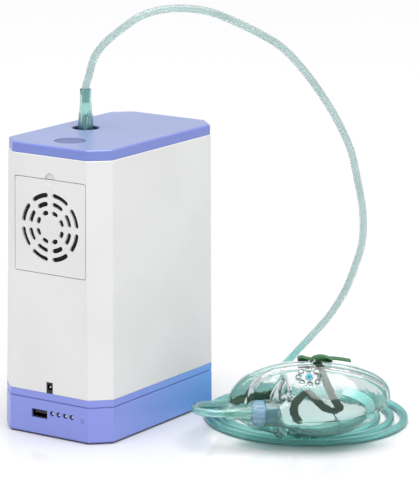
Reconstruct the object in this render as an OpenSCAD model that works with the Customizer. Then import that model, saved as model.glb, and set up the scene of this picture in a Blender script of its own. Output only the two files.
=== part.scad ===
// Table-top oxygen concentrator with its oxygen hose and face mask.
// Origin: centre of the casing's footprint, on the surface it stands on.
// +Z is up, the fan door faces -Y, and the hose and mask lie on the +X side.

/* [Casing] */
// Width of the casing at its foot, along X
case_w = 103; // [96:1:130]
// Depth of the casing at its foot, along Y
case_d = 166; // [150:1:210]
// Height of the casing, from the table to the top of the lid
case_h = 230; // [195:1:290]
// Flat cut off each upright corner, measured along the side it is cut from
case_corner = 14; // [10:0.5:18]
// Radius that softens every upright edge
edge_r = 1.5; // [0.8:0.1:3]
// How far each long side leans in between foot and lid
lean_w = 2.4; // [0:0.1:4]
// How far the front and the back lean in between foot and lid
lean_d = 1.2; // [0:0.1:3]
// Wall thickness of the moulded casing parts
wall = 2.2; // [1.8:0.1:3]
// Height of the blue lid
lid_h = 8.4; // [7:0.1:12]
// Thickness of the lid's top
lid_t = 2.4; // [2:0.1:3]
// Small step between the lid's side and the white body
lid_step = 0.5; // [0.2:0.1:1]
// Height of the blue base, up to the white body
base_h = 35; // [32:1:45]
// Height of the battery tray, up to the dark joint line
tray_h = 28.6; // [27:0.1:30]
// Height of the dark joint line between tray and collar
joint_h = 0.9; // [0.5:0.1:1.5]
// How far the rubber feet stand out below the tray
foot_proud = 1; // [0.5:0.1:2]

/* [Fan door] */
// Narrow strip of front wall left on each side of the door
door_margin = 2.4; // [2:0.1:6]
// Height of the fan door
door_h = 74; // [68:1:84]
// Distance from the lid down to the top of the door
door_drop = 18.2; // [14:0.1:24]
// Running gap round the door
door_gap = 0.5; // [0.4:0.05:0.8]
// Thickness of the door
door_t = 2; // [1.6:0.1:2.2]
// Diameter of the door's hinge pins
door_pin_d = 1.2; // [1:0.1:1.2]
// Width of each curved air slot
slot_w = 3.6; // [2.5:0.1:4]
// Distance from one ring of air slots to the next
ring_pitch = 6.8; // [6:0.1:9]
// Width of the webs between the air slots
web_w = 4; // [3:0.1:6]
// Width of the thumb notch above the door
notch_w = 9.5; // [7:0.5:14]

/* [Fan] */
// Side of the square fan frame
fan_size = 60; // [50:1:60]
// Depth of the fan frame
fan_t = 15; // [12:1:20]
// Number of fan blades
fan_blades = 7; // [5:1:9]
// Gap between the blade tips and the duct
fan_tip_gap = 0.8; // [0.5:0.1:1.5]
// Thickness of the dust filter
foam_t = 3.6; // [3:0.1:5]

/* [Lid fittings] */
// Diameter of the round power button
button_d = 23.5; // [18:0.5:26]
// Distance that the power button travels when it is pressed
button_travel = 1.2; // [0.6:0.1:1.5]
// Gap round the power button
button_gap = 0.3; // [0.2:0.05:0.5]
// Place of the power button along Y
button_y = -56; // [-58:1:-50]
// Inner diameter of the cup that the oxygen outlet stands in
cup_d = 20; // [18:0.5:24]
// Depth of the outlet cup
cup_depth = 13; // [10:0.5:16]
// Place of the oxygen outlet along X
outlet_x = -22; // [-26:1:-18]
// Place of the oxygen outlet along Y
outlet_y = -3; // [-8:1:4]

/* [Front of the base] */
// Width of the opening for the USB socket
usb_w = 15; // [13:0.5:17]
// Height of the opening for the USB socket
usb_h = 7; // [6:0.5:8]
// Diameter of the battery level lights
light_d = 4.2; // [3:0.1:4.6]
// Distance from one battery level light to the next
light_pitch = 6.2; // [5.6:0.1:7]
// Diameter of the battery check button
check_d = 2.6; // [2:0.1:4]
// Distance that the battery check button travels
check_travel = 0.5; // [0.3:0.1:0.8]
// Width of the power socket
jack_w = 6; // [6:0.1:10]
// Height of the power socket
jack_h = 9; // [8:0.5:12]

/* [Power] */
// Diameter of one battery cell
cell_d = 18.5; // [18:0.1:19]
// Length of one battery cell
cell_l = 65; // [65:0.5:66]
// Distance that the crank throws each connecting rod
crank_throw = 2; // [1:0.1:2.5]
// Diameter of the compressor pistons
piston_d = 20; // [16:1:24]
// Diameter of the compressor's motor
motor_d = 40; // [34:1:44]
// Length of the compressor's motor
motor_l = 42; // [34:1:44]
// Diameter of each of the two sieve beds
sieve_d = 41; // [30:1:41]

/* [Hose and mask] */
// Outer diameter of the oxygen hose
hose_d = 6; // [5:0.5:7]
// Inner diameter of the oxygen hose
hose_bore = 4; // [3:0.5:4.5]
// Outer diameter of the hose cuff where it meets the lid
cuff_d = 11.8; // [11:0.1:13]
// Length of the hose cuff
cuff_l = 39; // [30:1:44]
// Length of the mask, nose to chin
mask_l = 124; // [110:1:135]
// Width of the mask, cheek to cheek
mask_w = 60; // [56:1:64]
// Wall thickness of the mask
mask_t = 1.4; // [1:0.1:1.6]
// Outer diameter of the mask's port
port_d = 21; // [20:0.5:22]
// Radial clearance of the swivel in the mask's port
swivel_gap = 0.1; // [0.05:0.01:0.1]

/* [Hidden] */

eps = 0.01;
$fn = 48;

// Colours
blue = "#7f88cf";
blue_top = "#b0b6e4";
white = "#e4e4e6";
black = "#1b1c1f";
green = "#7fc2b8";
dark_green = "#1f6b45";
steel = "#b9bcc0";
board_green = "#2e6b4a";

// ---- Casing outline: a rectangle with cut and softened corners ----

// Casing width and depth at height z
function w_at(z) = case_w - 2 * lean_w * z / case_h;
function d_at(z) = case_d - 2 * lean_d * z / case_h;
// Y of the front face at height z
function front_y(z) = -d_at(z) / 2;

// The eight corners of the outline, moved inwards by inset
function corners(w, d, inset) =
    let (x = w / 2 - inset, y = d / 2 - inset, c = case_corner - inset * (2 - sqrt(2)))
    [[x, -(y - c)], [x, y - c], [x - c, y], [-(x - c), y],
     [-x, y - c], [-x, -(y - c)], [-(x - c), -y], [x - c, -y]];

// Softens each corner p between its neighbours a and b with a short curve
function soft_corner(a, p, b, r, steps = 3) =
    let (t = r * tan(22.5), u = (a - p) / norm(a - p), v = (b - p) / norm(b - p))
    [for (i = [0:steps]) let (s = i / steps)
        (1 - s) * (1 - s) * (p + u * t) + 2 * s * (1 - s) * p + s * s * (p + v * t)];

function outline(w, d, inset) =
    let (k = corners(w, d, inset), n = len(k), r = max(0.4, edge_r - inset / 2))
    [for (i = [0:n - 1]) each soft_corner(k[(i + n - 1) % n], k[i], k[(i + 1) % n], r)];

// Closed solid through a stack of equal rings of points
module skin(rings) {
    n = len(rings[0]);
    last = len(rings) - 1;
    pts = [for (ring = rings) each ring];
    sides = [for (j = [0:last - 1], i = [0:n - 1]) let (a = j * n + i, b = j * n + (i + 1) % n)
        each [[a, b + n, b], [a, a + n, b + n]]];
    polyhedron(pts, concat(sides, [[for (i = [0:n - 1]) i]],
        [[for (i = [n - 1:-1:0]) last * n + i]]), convexity = 6);
}

// Casing-shaped solid; levels is a list of [height, inset]
module case_block(levels) {
    skin([for (l = levels) [for (p = outline(w_at(l[0]), d_at(l[0]), l[1])) [p.x, p.y, l[0]]]]);
}

// Casing-shaped ring between two heights, from one inset to another
module case_ring(z0, z1, outer, inner) {
    difference() {
        case_block([[z0, outer], [z1, outer]]);
        case_block([[z0 - 1, inner], [z1 + 1, inner]]);
    }
}

// Round bar along Y from y0 to y1, centred on x and z
module bar_y(d, x, z, y0, y1, fn = 48) {
    translate([x, y0, z]) rotate([-90, 0, 0]) cylinder(d = d, h = y1 - y0, $fn = fn);
}

// Round bar along X
module bar_x(d, y, z, x0, x1, fn = 48) {
    translate([x0, y, z]) rotate([0, 90, 0]) cylinder(d = d, h = x1 - x0, $fn = fn);
}

// Block given by its two opposite corners
module block(a, b) {
    translate(a) cube(b - a);
}

// ---- Swept tube through hand-placed points ----

// Smooth curve through p, with per steps between two points
function spline(p, per) =
    let (n = len(p) - 1)
    concat([for (i = [0:n - 1], k = [0:per - 1])
        let (t = k / per, a = p[max(0, i - 1)], b = p[i], c = p[i + 1], d = p[min(n, i + 2)])
        0.5 * (2 * b + (c - a) * t + (2 * a - 5 * b + 4 * c - d) * t * t
               + (3 * b - a - 3 * c + d) * t * t * t)], [p[n]]);

function unit(v) = v / norm(v);

// Direction of the curve at each of its points
function headings(p) =
    let (n = len(p) - 1)
    [for (i = [0:n]) unit(p[min(n, i + 1)] - p[max(0, i - 1)])];

// Side vectors carried along the curve without twist
function carried(h, s) =
    [for (i = 0, u = unit(s - h[0] * (s * h[0])); i < len(h);
          i = i + 1, u = i < len(h) ? unit(u - h[i] * (u * h[i])) : u) u];

module tube(points, d, sides = 8, side = [0, 0, 1]) {
    h = headings(points);
    u = carried(h, side);
    skin([for (i = [0:len(points) - 1]) let (v = cross(h[i], u[i]))
        [for (k = [0:sides - 1]) let (a = -360 * k / sides)
            points[i] + (u[i] * cos(a) + v * sin(a)) * d / 2]]);
}

// Flat band, wide along the side vectors
module band(points, w, t, side) {
    h = headings(points);
    u = carried(h, side);
    skin([for (i = [0:len(points) - 1]) let (v = cross(h[i], u[i]))
        [points[i] + u[i] * w / 2 + v * t / 2, points[i] - u[i] * w / 2 + v * t / 2,
         points[i] - u[i] * w / 2 - v * t / 2, points[i] + u[i] * w / 2 - v * t / 2]]);
}

// ---- Shared heights and places ----

body_top = case_h - lid_h;
door_top = body_top - door_drop;
door_z = door_top - door_h;
// The door fills the flat front face at its narrow upper end
door_w = w_at(door_top) - 2 * case_corner - 2 * door_margin;
hole_w = door_w + 2 * door_gap;
pin_rise = 1.1;
pin_depth = door_t / 2;
pin_reach = 2.2;
pin_hole_d = door_pin_d + 0.15;

fan_z = door_z + door_h / 2;
duct_rim = 3;
fan_hole = fan_size - 2 * duct_rim;
bolt_inset = 5;
fan_bolt = fan_size - 2 * bolt_inset;
hub_d = fan_size * 0.42;
// Stack behind the front face, measured from it at the fan's height
stack_y = front_y(fan_z);
filter_gap = 0.3;
bracket_y = stack_y + door_t + filter_gap + foam_t + 0.2;
bracket_t = 2;
frame_y = bracket_y + bracket_t;
frame_end = frame_y + fan_t;
bracket_lip = 3.5;
bracket_tab = 8;

ledge_z = tray_h + 2.4;
plate_t = 2;
deck_z = ledge_z + plate_t;

// Half of the clear width between the casing walls at the sieve beds
clear_half = w_at(body_top) / 2 - wall;

// Outline of a curved slot with round ends, along an arc of radius r
function slot_outline(r, a0, a1) =
    let (h = slot_w / 2, steps = 8, caps = 6)
    concat([for (i = [0:steps]) let (a = a0 + (a1 - a0) * i / steps) (r + h) * [cos(a), sin(a)]],
           [for (i = [1:caps - 1]) let (a = a1 + 180 * i / caps)
               r * [cos(a1), sin(a1)] + h * [cos(a), sin(a)]],
           [for (i = [steps:-1:0]) let (a = a0 + (a1 - a0) * i / steps) (r - h) * [cos(a), sin(a)]],
           [for (i = [1:caps - 1]) let (a = a0 + 180 + 180 * i / caps)
               r * [cos(a0), sin(a0)] + h * [cos(a), sin(a)]]);

module arc_slot(r, a0, a1) {
    rotate([90, 0, 0]) translate([0, 0, -wall * 2]) linear_extrude(wall * 4)
        polygon(slot_outline(r, a0, a1));
}

// Three rings of curved slots, with webs up, down, across and on the diagonals
module grille() {
    outer = fan_hole / 2 - slot_w / 2;
    rings = min(3, floor((outer - 8) / ring_pitch) + 1);
    for (k = [0:rings - 1]) {
        r = outer - k * ring_pitch;
        web = asin((web_w + slot_w) / 2 / r);
        for (a = [0:45:315]) arc_slot(r, a + web, a + 45 - web);
    }
}

// ---- Lid and its fittings ----

button_x = 1;
button_flange = 3.4;
button_top = case_h - 0.2;
flange_top = case_h - lid_t - 0.1;
flange_t = 1.2;
board_z = case_h - 16;
board_t = 1.6;
switch_size = 6;
switch_h = 4.3;
plunger_d = 3.5;
post_x = button_d / 2 + button_flange + 3;
cup_t = 1;
cup_floor = case_h - cup_depth;
cuff_z = cup_floor + 5;

module lid() {
    top = case_h;
    round_r = 1.8;
    color(blue_top) {
        difference() {
            case_block([[body_top, lid_step], [top - round_r, lid_step],
                        [top - round_r * 0.62, lid_step + round_r * 0.08],
                        [top - round_r * 0.29, lid_step + round_r * 0.29],
                        [top - round_r * 0.08, lid_step + round_r * 0.62],
                        [top, lid_step + round_r]]);
            case_block([[body_top - 1, lid_step + wall], [top - lid_t, lid_step + wall]]);
            translate([button_x, button_y, top - 5])
                cylinder(d = button_d + 2 * button_gap, h = 10, $fn = 96);
            translate([outlet_x, outlet_y, top - 5]) cylinder(d = cup_d + 2 * cup_t, h = 10, $fn = 96);
        }
        // Spigot that drops inside the white body
        case_ring(body_top - 4, top - lid_t, wall + 0.2, wall + 1.6);
        // Posts that carry the switch board
        for (s = [-1, 1]) translate([button_x + s * post_x, button_y, board_z + board_t])
            cylinder(d = 5, h = top - lid_t - board_z - board_t + eps);
    }
}

module power_button() {
    color("#8f96c4") translate([button_x, button_y, 0]) {
        // Slightly dished cap on a retaining flange and a stem
        rotate_extrude($fn = 96) polygon([[0, flange_top - flange_t], [button_d / 2 + button_flange,
            flange_top - flange_t], [button_d / 2 + button_flange, flange_top],
            [button_d / 2, flange_top], [button_d / 2, button_top - 0.5],
            [button_d / 2 - 0.5, button_top], [button_d / 2 - 3, button_top - 0.2],
            [0, button_top - 0.5]]);
        translate([0, 0, board_z + board_t + switch_h + 2])
            cylinder(d = 5, h = flange_top - flange_t - board_z - board_t - switch_h - 2 + eps);
    }
}

module button_spring() {
    turns = 4;
    wire = 0.9;
    z0 = board_z + board_t + wire / 2;
    z1 = flange_top - flange_t - wire / 2;
    steps = 12;
    color(steel) translate([button_x, button_y, 0])
        tube([for (i = [0:turns * steps]) let (a = 360 * i / steps)
            [5.6 * cos(a), 5.6 * sin(a), z0 + (z1 - z0) * i / (turns * steps)]], wire, 6);
}

module switch_plunger() {
    color(black) translate([button_x, button_y, board_z + board_t + button_travel + 0.2])
        cylinder(d = plunger_d, h = switch_h + 2 - button_travel - 0.2);
}

module button_board() {
    color(board_green) {
        difference() {
            translate([button_x - post_x - 4, button_y - 9, board_z]) cube([2 * post_x + 8, 18, board_t]);
            for (s = [-1, 1]) translate([button_x + s * post_x, button_y, board_z - 1])
                cylinder(d = 2.4, h = board_t + 2);
        }
        difference() {
            translate([button_x - switch_size / 2, button_y - switch_size / 2, board_z + board_t - eps])
                cube([switch_size, switch_size, switch_h + eps]);
            translate([button_x, button_y, board_z + board_t]) cylinder(d = plunger_d + 0.15, h = switch_h + 1);
        }
    }
}

module outlet_cup() {
    color("#3a3e55") translate([outlet_x, outlet_y, 0]) difference() {
        union() {
            translate([0, 0, cup_floor - 2]) cylinder(d = cup_d + 2 * cup_t - 0.1, h = cup_depth + 1.6, $fn = 96);
            // Flange under the lid
            translate([0, 0, case_h - lid_t - 2]) cylinder(d = cup_d + 2 * cup_t + 4, h = 2, $fn = 96);
        }
        translate([0, 0, cup_floor]) cylinder(d = cup_d, h = cup_depth + 1, $fn = 96);
        translate([0, 0, cup_floor - 3]) cylinder(d = 6.2, h = 5);
    }
}

barb_d = 6.4;
barb_top = cuff_z + 18;
barb_foot = cup_floor - 9;

// Barbed oxygen outlet, with three barbs for the cuff and a tail below the cup
module outlet_barb() {
    color(steel) translate([outlet_x, outlet_y, 0]) rotate_extrude()
        polygon([[1.5, barb_foot], [3, barb_foot], [3, cup_floor], [6, cup_floor],
            [6, cup_floor + 3], [barb_d / 2 - 0.5, cup_floor + 4], [barb_d / 2 - 0.5, barb_top - 12],
            [barb_d / 2, barb_top - 12], [barb_d / 2 - 0.6, barb_top - 8], [barb_d / 2, barb_top - 8],
            [barb_d / 2 - 0.6, barb_top - 4], [barb_d / 2, barb_top - 4], [2.2, barb_top],
            [1.5, barb_top]]);
}

// ---- White body and fan door ----

module shell_blank(inner) {
    case_ring(base_h, body_top, 0, inner);
}

// Screw post joined to the side wall by a rib; s and t choose the corner
module screw_post(s, t, d, z0, z1) {
    translate([s * screw_x, t * screw_y, z0]) cylinder(d = d, h = z1 - z0);
    x = w_at(z1) / 2 - wall + 0.6;
    block([min(s * screw_x, s * x), t * screw_y - 1.2, z0], [max(s * screw_x, s * x), t * screw_y + 1.2, z1]);
}

door_x = 1;
hinge_z = door_z + door_gap + pin_rise;
hinge_y = front_y(hinge_z) + pin_depth;
boss_w = 5;

// Blocks beside the opening that the door's pins turn in
module hinge_bosses(z) {
    for (s = [-1, 1], x = [door_x + s * (hole_w + boss_w) / 2])
        block([x - boss_w / 2, front_y(z) + 0.6, door_z - 3],
              [x + boss_w / 2, front_y(z) + 4, door_z + 7]);
}

module main_shell() {
    tab_z = [door_z - bracket_tab / 2, door_top + bracket_tab / 2];
    color(white) difference() {
        union() {
            shell_blank(wall);
            // Short posts that the fan bracket stands on
            for (s = [-1, 1], z = tab_z)
                bar_y(6, door_x + s * fan_bolt / 2, z, front_y(z) + 0.5, bracket_y);
            hinge_bosses(hinge_z);
            // Screw posts down both sides, for the screws from below
            for (s = [-1, 1], t = [-1, 1]) screw_post(s, t, 7, base_h, base_h + 18);
        }
        block([door_x - hole_w / 2, front_y(0) - 2, door_z],
              [door_x + hole_w / 2, front_y(case_h) + 8, door_top + door_gap]);
        // Shallow thumb notch above the door
        bar_y(notch_w, door_x, door_top + door_gap, front_y(door_top) - 3, front_y(door_top) + 1.2);
        // Blind holes for the hinge pins
        bar_x(pin_hole_d, hinge_y, hinge_z,
              door_x - hole_w / 2 - pin_reach - 0.3, door_x + hole_w / 2 + pin_reach + 0.3);
        // Notch for the power socket in the bottom edge
        block([jack_x - jack_w / 2 - 0.1, front_y(0) - 2, base_h - 1],
              [jack_x + jack_w / 2 + 0.1, front_y(base_h) + wall + 3, base_h + jack_h + 0.1]);
        for (s = [-1, 1], z = tab_z)
            bar_y(2.2, door_x + s * fan_bolt / 2, z, front_y(z) + 2, bracket_y + 1);
        for (s = [-1, 1], t = [-1, 1]) translate([s * screw_x, t * screw_y, base_h - 1])
            cylinder(d = 2.6, h = 15);
    }
}

module fan_door() {
    color(white) difference() {
        union() {
            intersection() {
                shell_blank(door_t);
                block([door_x - door_w / 2, front_y(0) - 2, door_z + door_gap],
                      [door_x + door_w / 2, front_y(case_h) + door_t + 0.5, door_top]);
            }
            for (s = [-1, 1]) bar_x(door_pin_d, hinge_y, hinge_z,
                door_x + s * door_w / 2 - (s < 0 ? door_gap + pin_reach : 1),
                door_x + s * door_w / 2 + (s < 0 ? 1 : door_gap + pin_reach));
        }
        translate([door_x, stack_y, fan_z]) grille();
    }
}

module dust_filter() {
    color("#4a4c50") block([door_x - hole_w / 2 + 1, bracket_y - 0.2 - foam_t, door_z + 4],
                           [door_x + hole_w / 2 - 1, bracket_y - 0.2, door_top - 3]);
}

module fan_bracket() {
    w = hole_w + 2 * bracket_lip;
    color("#d0d0d2") difference() {
        block([door_x - w / 2, bracket_y, door_z - bracket_tab],
              [door_x + w / 2, frame_y, door_top + bracket_tab]);
        bar_y(fan_hole, door_x, fan_z, bracket_y - 1, frame_y + 1, 96);
        for (s = [-1, 1], z = [door_z - bracket_tab / 2, door_top + bracket_tab / 2])
            bar_y(2.6, door_x + s * fan_bolt / 2, z, bracket_y - 1, frame_y + 1);
        for (s = [-1, 1], t = [-1, 1])
            bar_y(2.6, door_x + s * fan_bolt / 2, fan_z + t * fan_bolt / 2, bracket_y - 1, frame_y + 1);
    }
}

// ---- Fan ----

module fan_frame() {
    half = fan_size / 2;
    color(black) {
        difference() {
            block([door_x - half, frame_y, fan_z - half], [door_x + half, frame_end, fan_z + half]);
            bar_y(fan_hole, door_x, fan_z, frame_y - 1, frame_end + 1, 96);
            for (s = [-1, 1], t = [-1, 1])
                bar_y(3.4, door_x + s * fan_bolt / 2, fan_z + t * fan_bolt / 2, frame_y - 1, frame_end + 1);
        }
        // Motor plate on three struts at the back of the duct
        difference() {
            union() {
                bar_y(hub_d, door_x, fan_z, frame_end - 3, frame_end, 96);
                for (a = [90, 210, 330]) translate([door_x, 0, fan_z]) rotate([0, a, 0])
                    block([0, frame_end - 3, -1.5], [fan_hole / 2 + 1, frame_end, 1.5]);
            }
            bar_y(3.2, door_x, fan_z, frame_end - 4, frame_end + 1);
        }
    }
}

module fan_rotor() {
    y0 = frame_y + 1;
    y1 = frame_end - 3.6;
    blade_r = fan_hole / 2 - fan_tip_gap;
    color("#26282c") {
        bar_y(hub_d, door_x, fan_z, y0, y1, 96);
        // Shaft that turns in the motor plate
        bar_y(3, door_x, fan_z, y1 - 1, frame_end - 0.6);
        for (k = [0:fan_blades - 1]) translate([door_x, (y0 + y1) / 2, fan_z])
            rotate([0, 360 * k / fan_blades, 0]) rotate([38, 0, 0])
                translate([hub_d / 2 - 1.5, -0.7, -6]) cube([blade_r - hub_d / 2 + 0.6, 1.4, 12]);
    }
}

// Screw with its head's seat at the origin and its shank up
module screw(d, l, head_d, head_h) {
    translate([0, 0, -eps]) cylinder(d = d, h = l + eps);
    translate([0, 0, -head_h]) difference() {
        cylinder(d = head_d, h = head_h);
        for (a = [0, 90]) rotate([0, 0, a]) translate([-head_d * 0.3, -0.4, -1]) cube([head_d * 0.6, 0.8, 1.8]);
    }
}

module fan_screws() {
    color(steel) {
        for (s = [-1, 1], t = [-1, 1])
            translate([door_x + s * fan_bolt / 2, frame_end, fan_z + t * fan_bolt / 2])
                rotate([90, 0, 0]) screw(2.4, fan_t + bracket_t, 5.5, 1.8);
        for (s = [-1, 1], z = [door_z - bracket_tab / 2, door_top + bracket_tab / 2])
            translate([door_x + s * fan_bolt / 2, frame_y, z])
                rotate([90, 0, 0]) screw(2, 4, 4.6, 1.6);
    }
}

// ---- Base ----

jack_x = 0.5;
jack_room = 3;
screw_x = case_w / 2 - lean_w - wall - 6.5;
screw_y = case_d / 2 - lean_d - wall - case_corner - 1;
usb_x = -9.2;
usb_z = 17.5;
light_z = 19.3;
light_x = 2.8;
check_x = 31.6;
check_z = 18;
tray_floor = foot_proud + wall;
screw_seat = foot_proud + 3;
screw_hole_d = 3.4;
tower_d = 8.4;

module front_cuts(grow) {
    block([usb_x - usb_w / 2 - grow, front_y(0) - 2, usb_z - usb_h / 2 - grow],
          [usb_x + usb_w / 2 + grow, front_y(0) + wall + 3, usb_z + usb_h / 2 + grow]);
    for (k = [0:3])
        bar_y(light_d + grow, light_x + k * light_pitch, light_z, front_y(0) - 2, front_y(0) + wall + 3);
    bar_y(check_d + 0.3 + grow, check_x, check_z, front_y(0) - 2, front_y(0) + wall + 3);
}

module base_tray() {
    r = 1.2;
    color(blue) difference() {
        union() {
            difference() {
                case_block([[foot_proud, r], [foot_proud + r * 0.3, r * 0.3],
                            [foot_proud + r, 0], [tray_h, 0]]);
                case_block([[tray_floor, wall], [tray_h + 1, wall]]);
            }
            // Screw towers, joined to the floor
            for (s = [-1, 1], t = [-1, 1]) translate([s * screw_x, t * screw_y, tray_floor - 1])
                cylinder(d = tower_d, h = tray_h - tray_floor + 1);
        }
        front_cuts(0);
        // Pockets for the rubber feet
        for (s = [-1, 1], t = [-1, 1]) translate([s * foot_x, t * foot_y, -1])
            cylinder(d = foot_d + 0.2, h = foot_proud + 1.8);
        // Warm air outlet slots through the floor
        for (k = [-4:4]) block([-30, k * 9 - 1.5, -1], [30, k * 9 + 1.5, tray_floor + 1]);
        // Screw holes, with a counterbore for each head from below
        for (s = [-1, 1], t = [-1, 1]) translate([s * screw_x, t * screw_y, 0]) {
            cylinder(d = screw_hole_d, h = tray_h + 1);
            cylinder(d = 6.4, h = screw_seat);
        }
    }
}

module base_collar() {
    color(blue) difference() {
        union() {
            // Recessed neck that shows as the dark joint line
            case_ring(tray_h, tray_h + joint_h, 0.9, wall + 1);
            case_ring(tray_h + joint_h, base_h, 0, wall + 1);
            // Upstand that the white body slips over
            case_ring(base_h - 1, base_h + 3, wall + 0.2, wall + 1.6);
            // Ledge that carries the chassis plate
            case_ring(tray_h, ledge_z, wall, wall + 4);
            for (s = [-1, 1], t = [-1, 1]) screw_post(s, t, tower_d, tray_h, base_h);
        }
        for (s = [-1, 1], t = [-1, 1]) translate([s * screw_x, t * screw_y, tray_h - 1])
            cylinder(d = screw_hole_d, h = base_h + 10);
        // Room for the white body's screw posts and their ribs
        for (s = [-1, 1], t = [-1, 1]) translate([s * screw_x, t * screw_y, base_h]) {
            cylinder(d = 7.6, h = 10);
            translate([-case_w / 4, -1.6, 0]) cube([case_w / 2, 3.2, 10]);
        }
        // Room for the power socket, through the upstand and the ledge
        block([jack_x - jack_w / 2 - jack_room, front_y(0) - 2, base_h],
              [jack_x + jack_w / 2 + jack_room, front_y(0) + wall + 6, base_h + 6]);
        block([jack_x - jack_w / 2 - jack_room, front_y(0) + wall, tray_h - 1],
              [jack_x + jack_w / 2 + jack_room, front_y(0) + wall + 6, base_h + 6]);
    }
}

foot_d = 12;
foot_x = case_w / 2 - 22;
foot_y = case_d / 2 - 22;

module rubber_feet() {
    color(black) for (s = [-1, 1], t = [-1, 1]) translate([s * foot_x, t * foot_y, 0])
        cylinder(d = foot_d, h = foot_proud + 0.8);
}

module case_screws() {
    color(steel) for (s = [-1, 1], t = [-1, 1]) translate([s * screw_x, t * screw_y, screw_seat])
        screw(2.5, base_h + 8 - foot_proud, 5.6, 1.9);
}

module dc_socket() {
    y0 = front_y(base_h) + 0.6;
    color(black) difference() {
        block([jack_x - jack_w / 2, y0, base_h], [jack_x + jack_w / 2, y0 + 14, base_h + jack_h]);
        difference() {
            bar_y(5, jack_x, base_h + jack_h / 2 + 0.6, y0 - 1, y0 + 9);
            bar_y(1.6, jack_x, base_h + jack_h / 2 + 0.6, y0 + 1, y0 + 10);
        }
    }
}

// Folded metal USB socket body, open at the front
module usb_socket() {
    y0 = front_y(0) + 1.2;
    color(steel) difference() {
        block([usb_x - 6.9, y0, usb_z - 2.9], [usb_x + 6.9, y0 + 14, usb_z + 2.9]);
        block([usb_x - 6.5, y0 - 1, usb_z - 2.5], [usb_x + 6.5, y0 + 12, usb_z + 2.5]);
    }
}

module usb_tongue() {
    y0 = front_y(0) + 1.2;
    color(black) block([usb_x - 5.6, y0 + 1, usb_z + 0.3], [usb_x + 5.6, y0 + 12, usb_z + 2.1]);
}

module level_lights() {
    color("#dfe6f2") for (k = [0:3]) {
        bar_y(light_d - 0.3, light_x + k * light_pitch, light_z, front_y(0) + 0.8, front_y(0) + 6);
    }
}

board_y = front_y(0) + 7.5;
check_stem = 1.6;

module check_button() {
    color("#a9c4ee") {
        bar_y(check_d, check_x, check_z, front_y(0) - 0.3, front_y(0) + 5.4 - check_stem);
        bar_y(check_d + 2, check_x, check_z, front_y(0) + wall + 0.3, front_y(0) + 3.6);
    }
}

module front_board() {
    color(board_green) {
        difference() {
            block([usb_x - 10, board_y, 9], [check_x + 6, board_y + 1.6, tray_h - 2]);
            block([usb_x - 7, board_y - 1, usb_z - 3], [usb_x + 7, board_y + 3, usb_z + 3]);
        }
        // Switch for the check button, and the light emitters
        block([check_x - 2, board_y - 2.6, check_z - 2], [check_x + 2, board_y + eps, check_z + 2]);
        for (k = [0:3]) block([light_x + k * light_pitch - 1.5, board_y - 1.2, light_z - 1.5],
                              [light_x + k * light_pitch + 1.5, board_y + eps, light_z + 1.5]);
    }
}

// ---- Battery ----

cell_pitch = cell_d + 0.6;
cell_count = floor((case_d - 2 * wall - 30) / cell_pitch);
cell_z = tray_floor + 1.6 + cell_d / 2;
cell_y0 = -(cell_count - 1) * cell_pitch / 2 + 5;

module battery_cells() {
    color("#3f7fb5") for (k = [0:cell_count - 1]) translate([0, cell_y0 + k * cell_pitch, cell_z])
        rotate([0, 90, 0]) union() {
            cylinder(d = cell_d, h = cell_l, center = true);
            translate([0, 0, cell_l / 2 - eps]) cylinder(d = 6, h = 0.8);
        }
}

module battery_cradle() {
    y0 = cell_y0 - cell_pitch / 2 - 1.5;
    y1 = cell_y0 + (cell_count - 0.5) * cell_pitch + 1.5;
    color("#30333a") for (s = [-1, 1]) difference() {
        block([s * cell_l / 2 - 9 * s - 3, y0, tray_floor], [s * cell_l / 2 - 9 * s + 3, y1, cell_z + 3]);
        for (k = [0:cell_count - 1]) translate([0, cell_y0 + k * cell_pitch, cell_z]) rotate([0, 90, 0])
            cylinder(d = cell_d + 0.2, h = case_w, center = true);
        for (k = [0:cell_count - 1]) block([-case_w, cell_y0 + k * cell_pitch - 8, cell_z],
                                           [case_w, cell_y0 + k * cell_pitch + 8, cell_z + 9]);
    }
}

// ---- Chassis and compressor ----

mount_h = 10;
bed_t = 3;
comp_y = -36;
case_half = 14;
bed_z = deck_z + mount_h;
crank_z = bed_z + bed_t + motor_d / 2 + 1;
head_t = 8;
// Half span of the compressor: the heads stop short of the casing walls
comp_half = w_at(crank_z) / 2 - wall - 6;
sleeve_end = comp_half - head_t;
bore_d = piston_d + 2 * crank_throw + 0.8;
shaft_d = 5;
cam_d = 10;
cam_t = 5;
cam_gap = 1;
rod_t = 4.4;
crown_t = 4;
crown_gap = 0.6;
mount_x = 24;
mount_y = 16;
motor_y = comp_y + bore_d / 2 + 3.5;

module chassis_plate() {
    color("#9a9da3") difference() {
        case_block([[ledge_z, wall + 1.4], [deck_z, wall + 1.4]]);
        for (s = [-1, 1], t = [-1, 1]) {
            translate([s * mount_x, comp_y + 6 + t * mount_y, ledge_z - 1]) cylinder(d = 4.2, h = 6);
            translate([s * screw_x, t * screw_y, ledge_z - 1]) {
                cylinder(d = 9.2, h = 6);
                translate([s > 0 ? 0 : -12, -1.6, 0]) cube([12, 3.2, 6]);
            }
        }
        // Openings that let the cooling air down to the base
        for (y = [-62, 20]) translate([0, y, ledge_z - 1]) cylinder(d = 18, h = 6);
        block([jack_x - jack_w / 2 - jack_room, front_y(0) - 2, ledge_z - 1],
              [jack_x + jack_w / 2 + jack_room, front_y(0) + wall + 6, deck_z + 1]);
    }
}

module rubber_mounts() {
    color(black) for (s = [-1, 1], t = [-1, 1]) translate([s * mount_x, comp_y + 6 + t * mount_y, 0])
        rotate_extrude() polygon([[0, deck_z - plate_t - 2], [3.4, deck_z - plate_t - 2],
            [3.4, ledge_z - 0.2], [2, ledge_z - 0.2], [2, deck_z], [6, deck_z],
            [4.6, deck_z + mount_h / 2], [6, bed_z], [0, bed_z]]);
}

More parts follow.
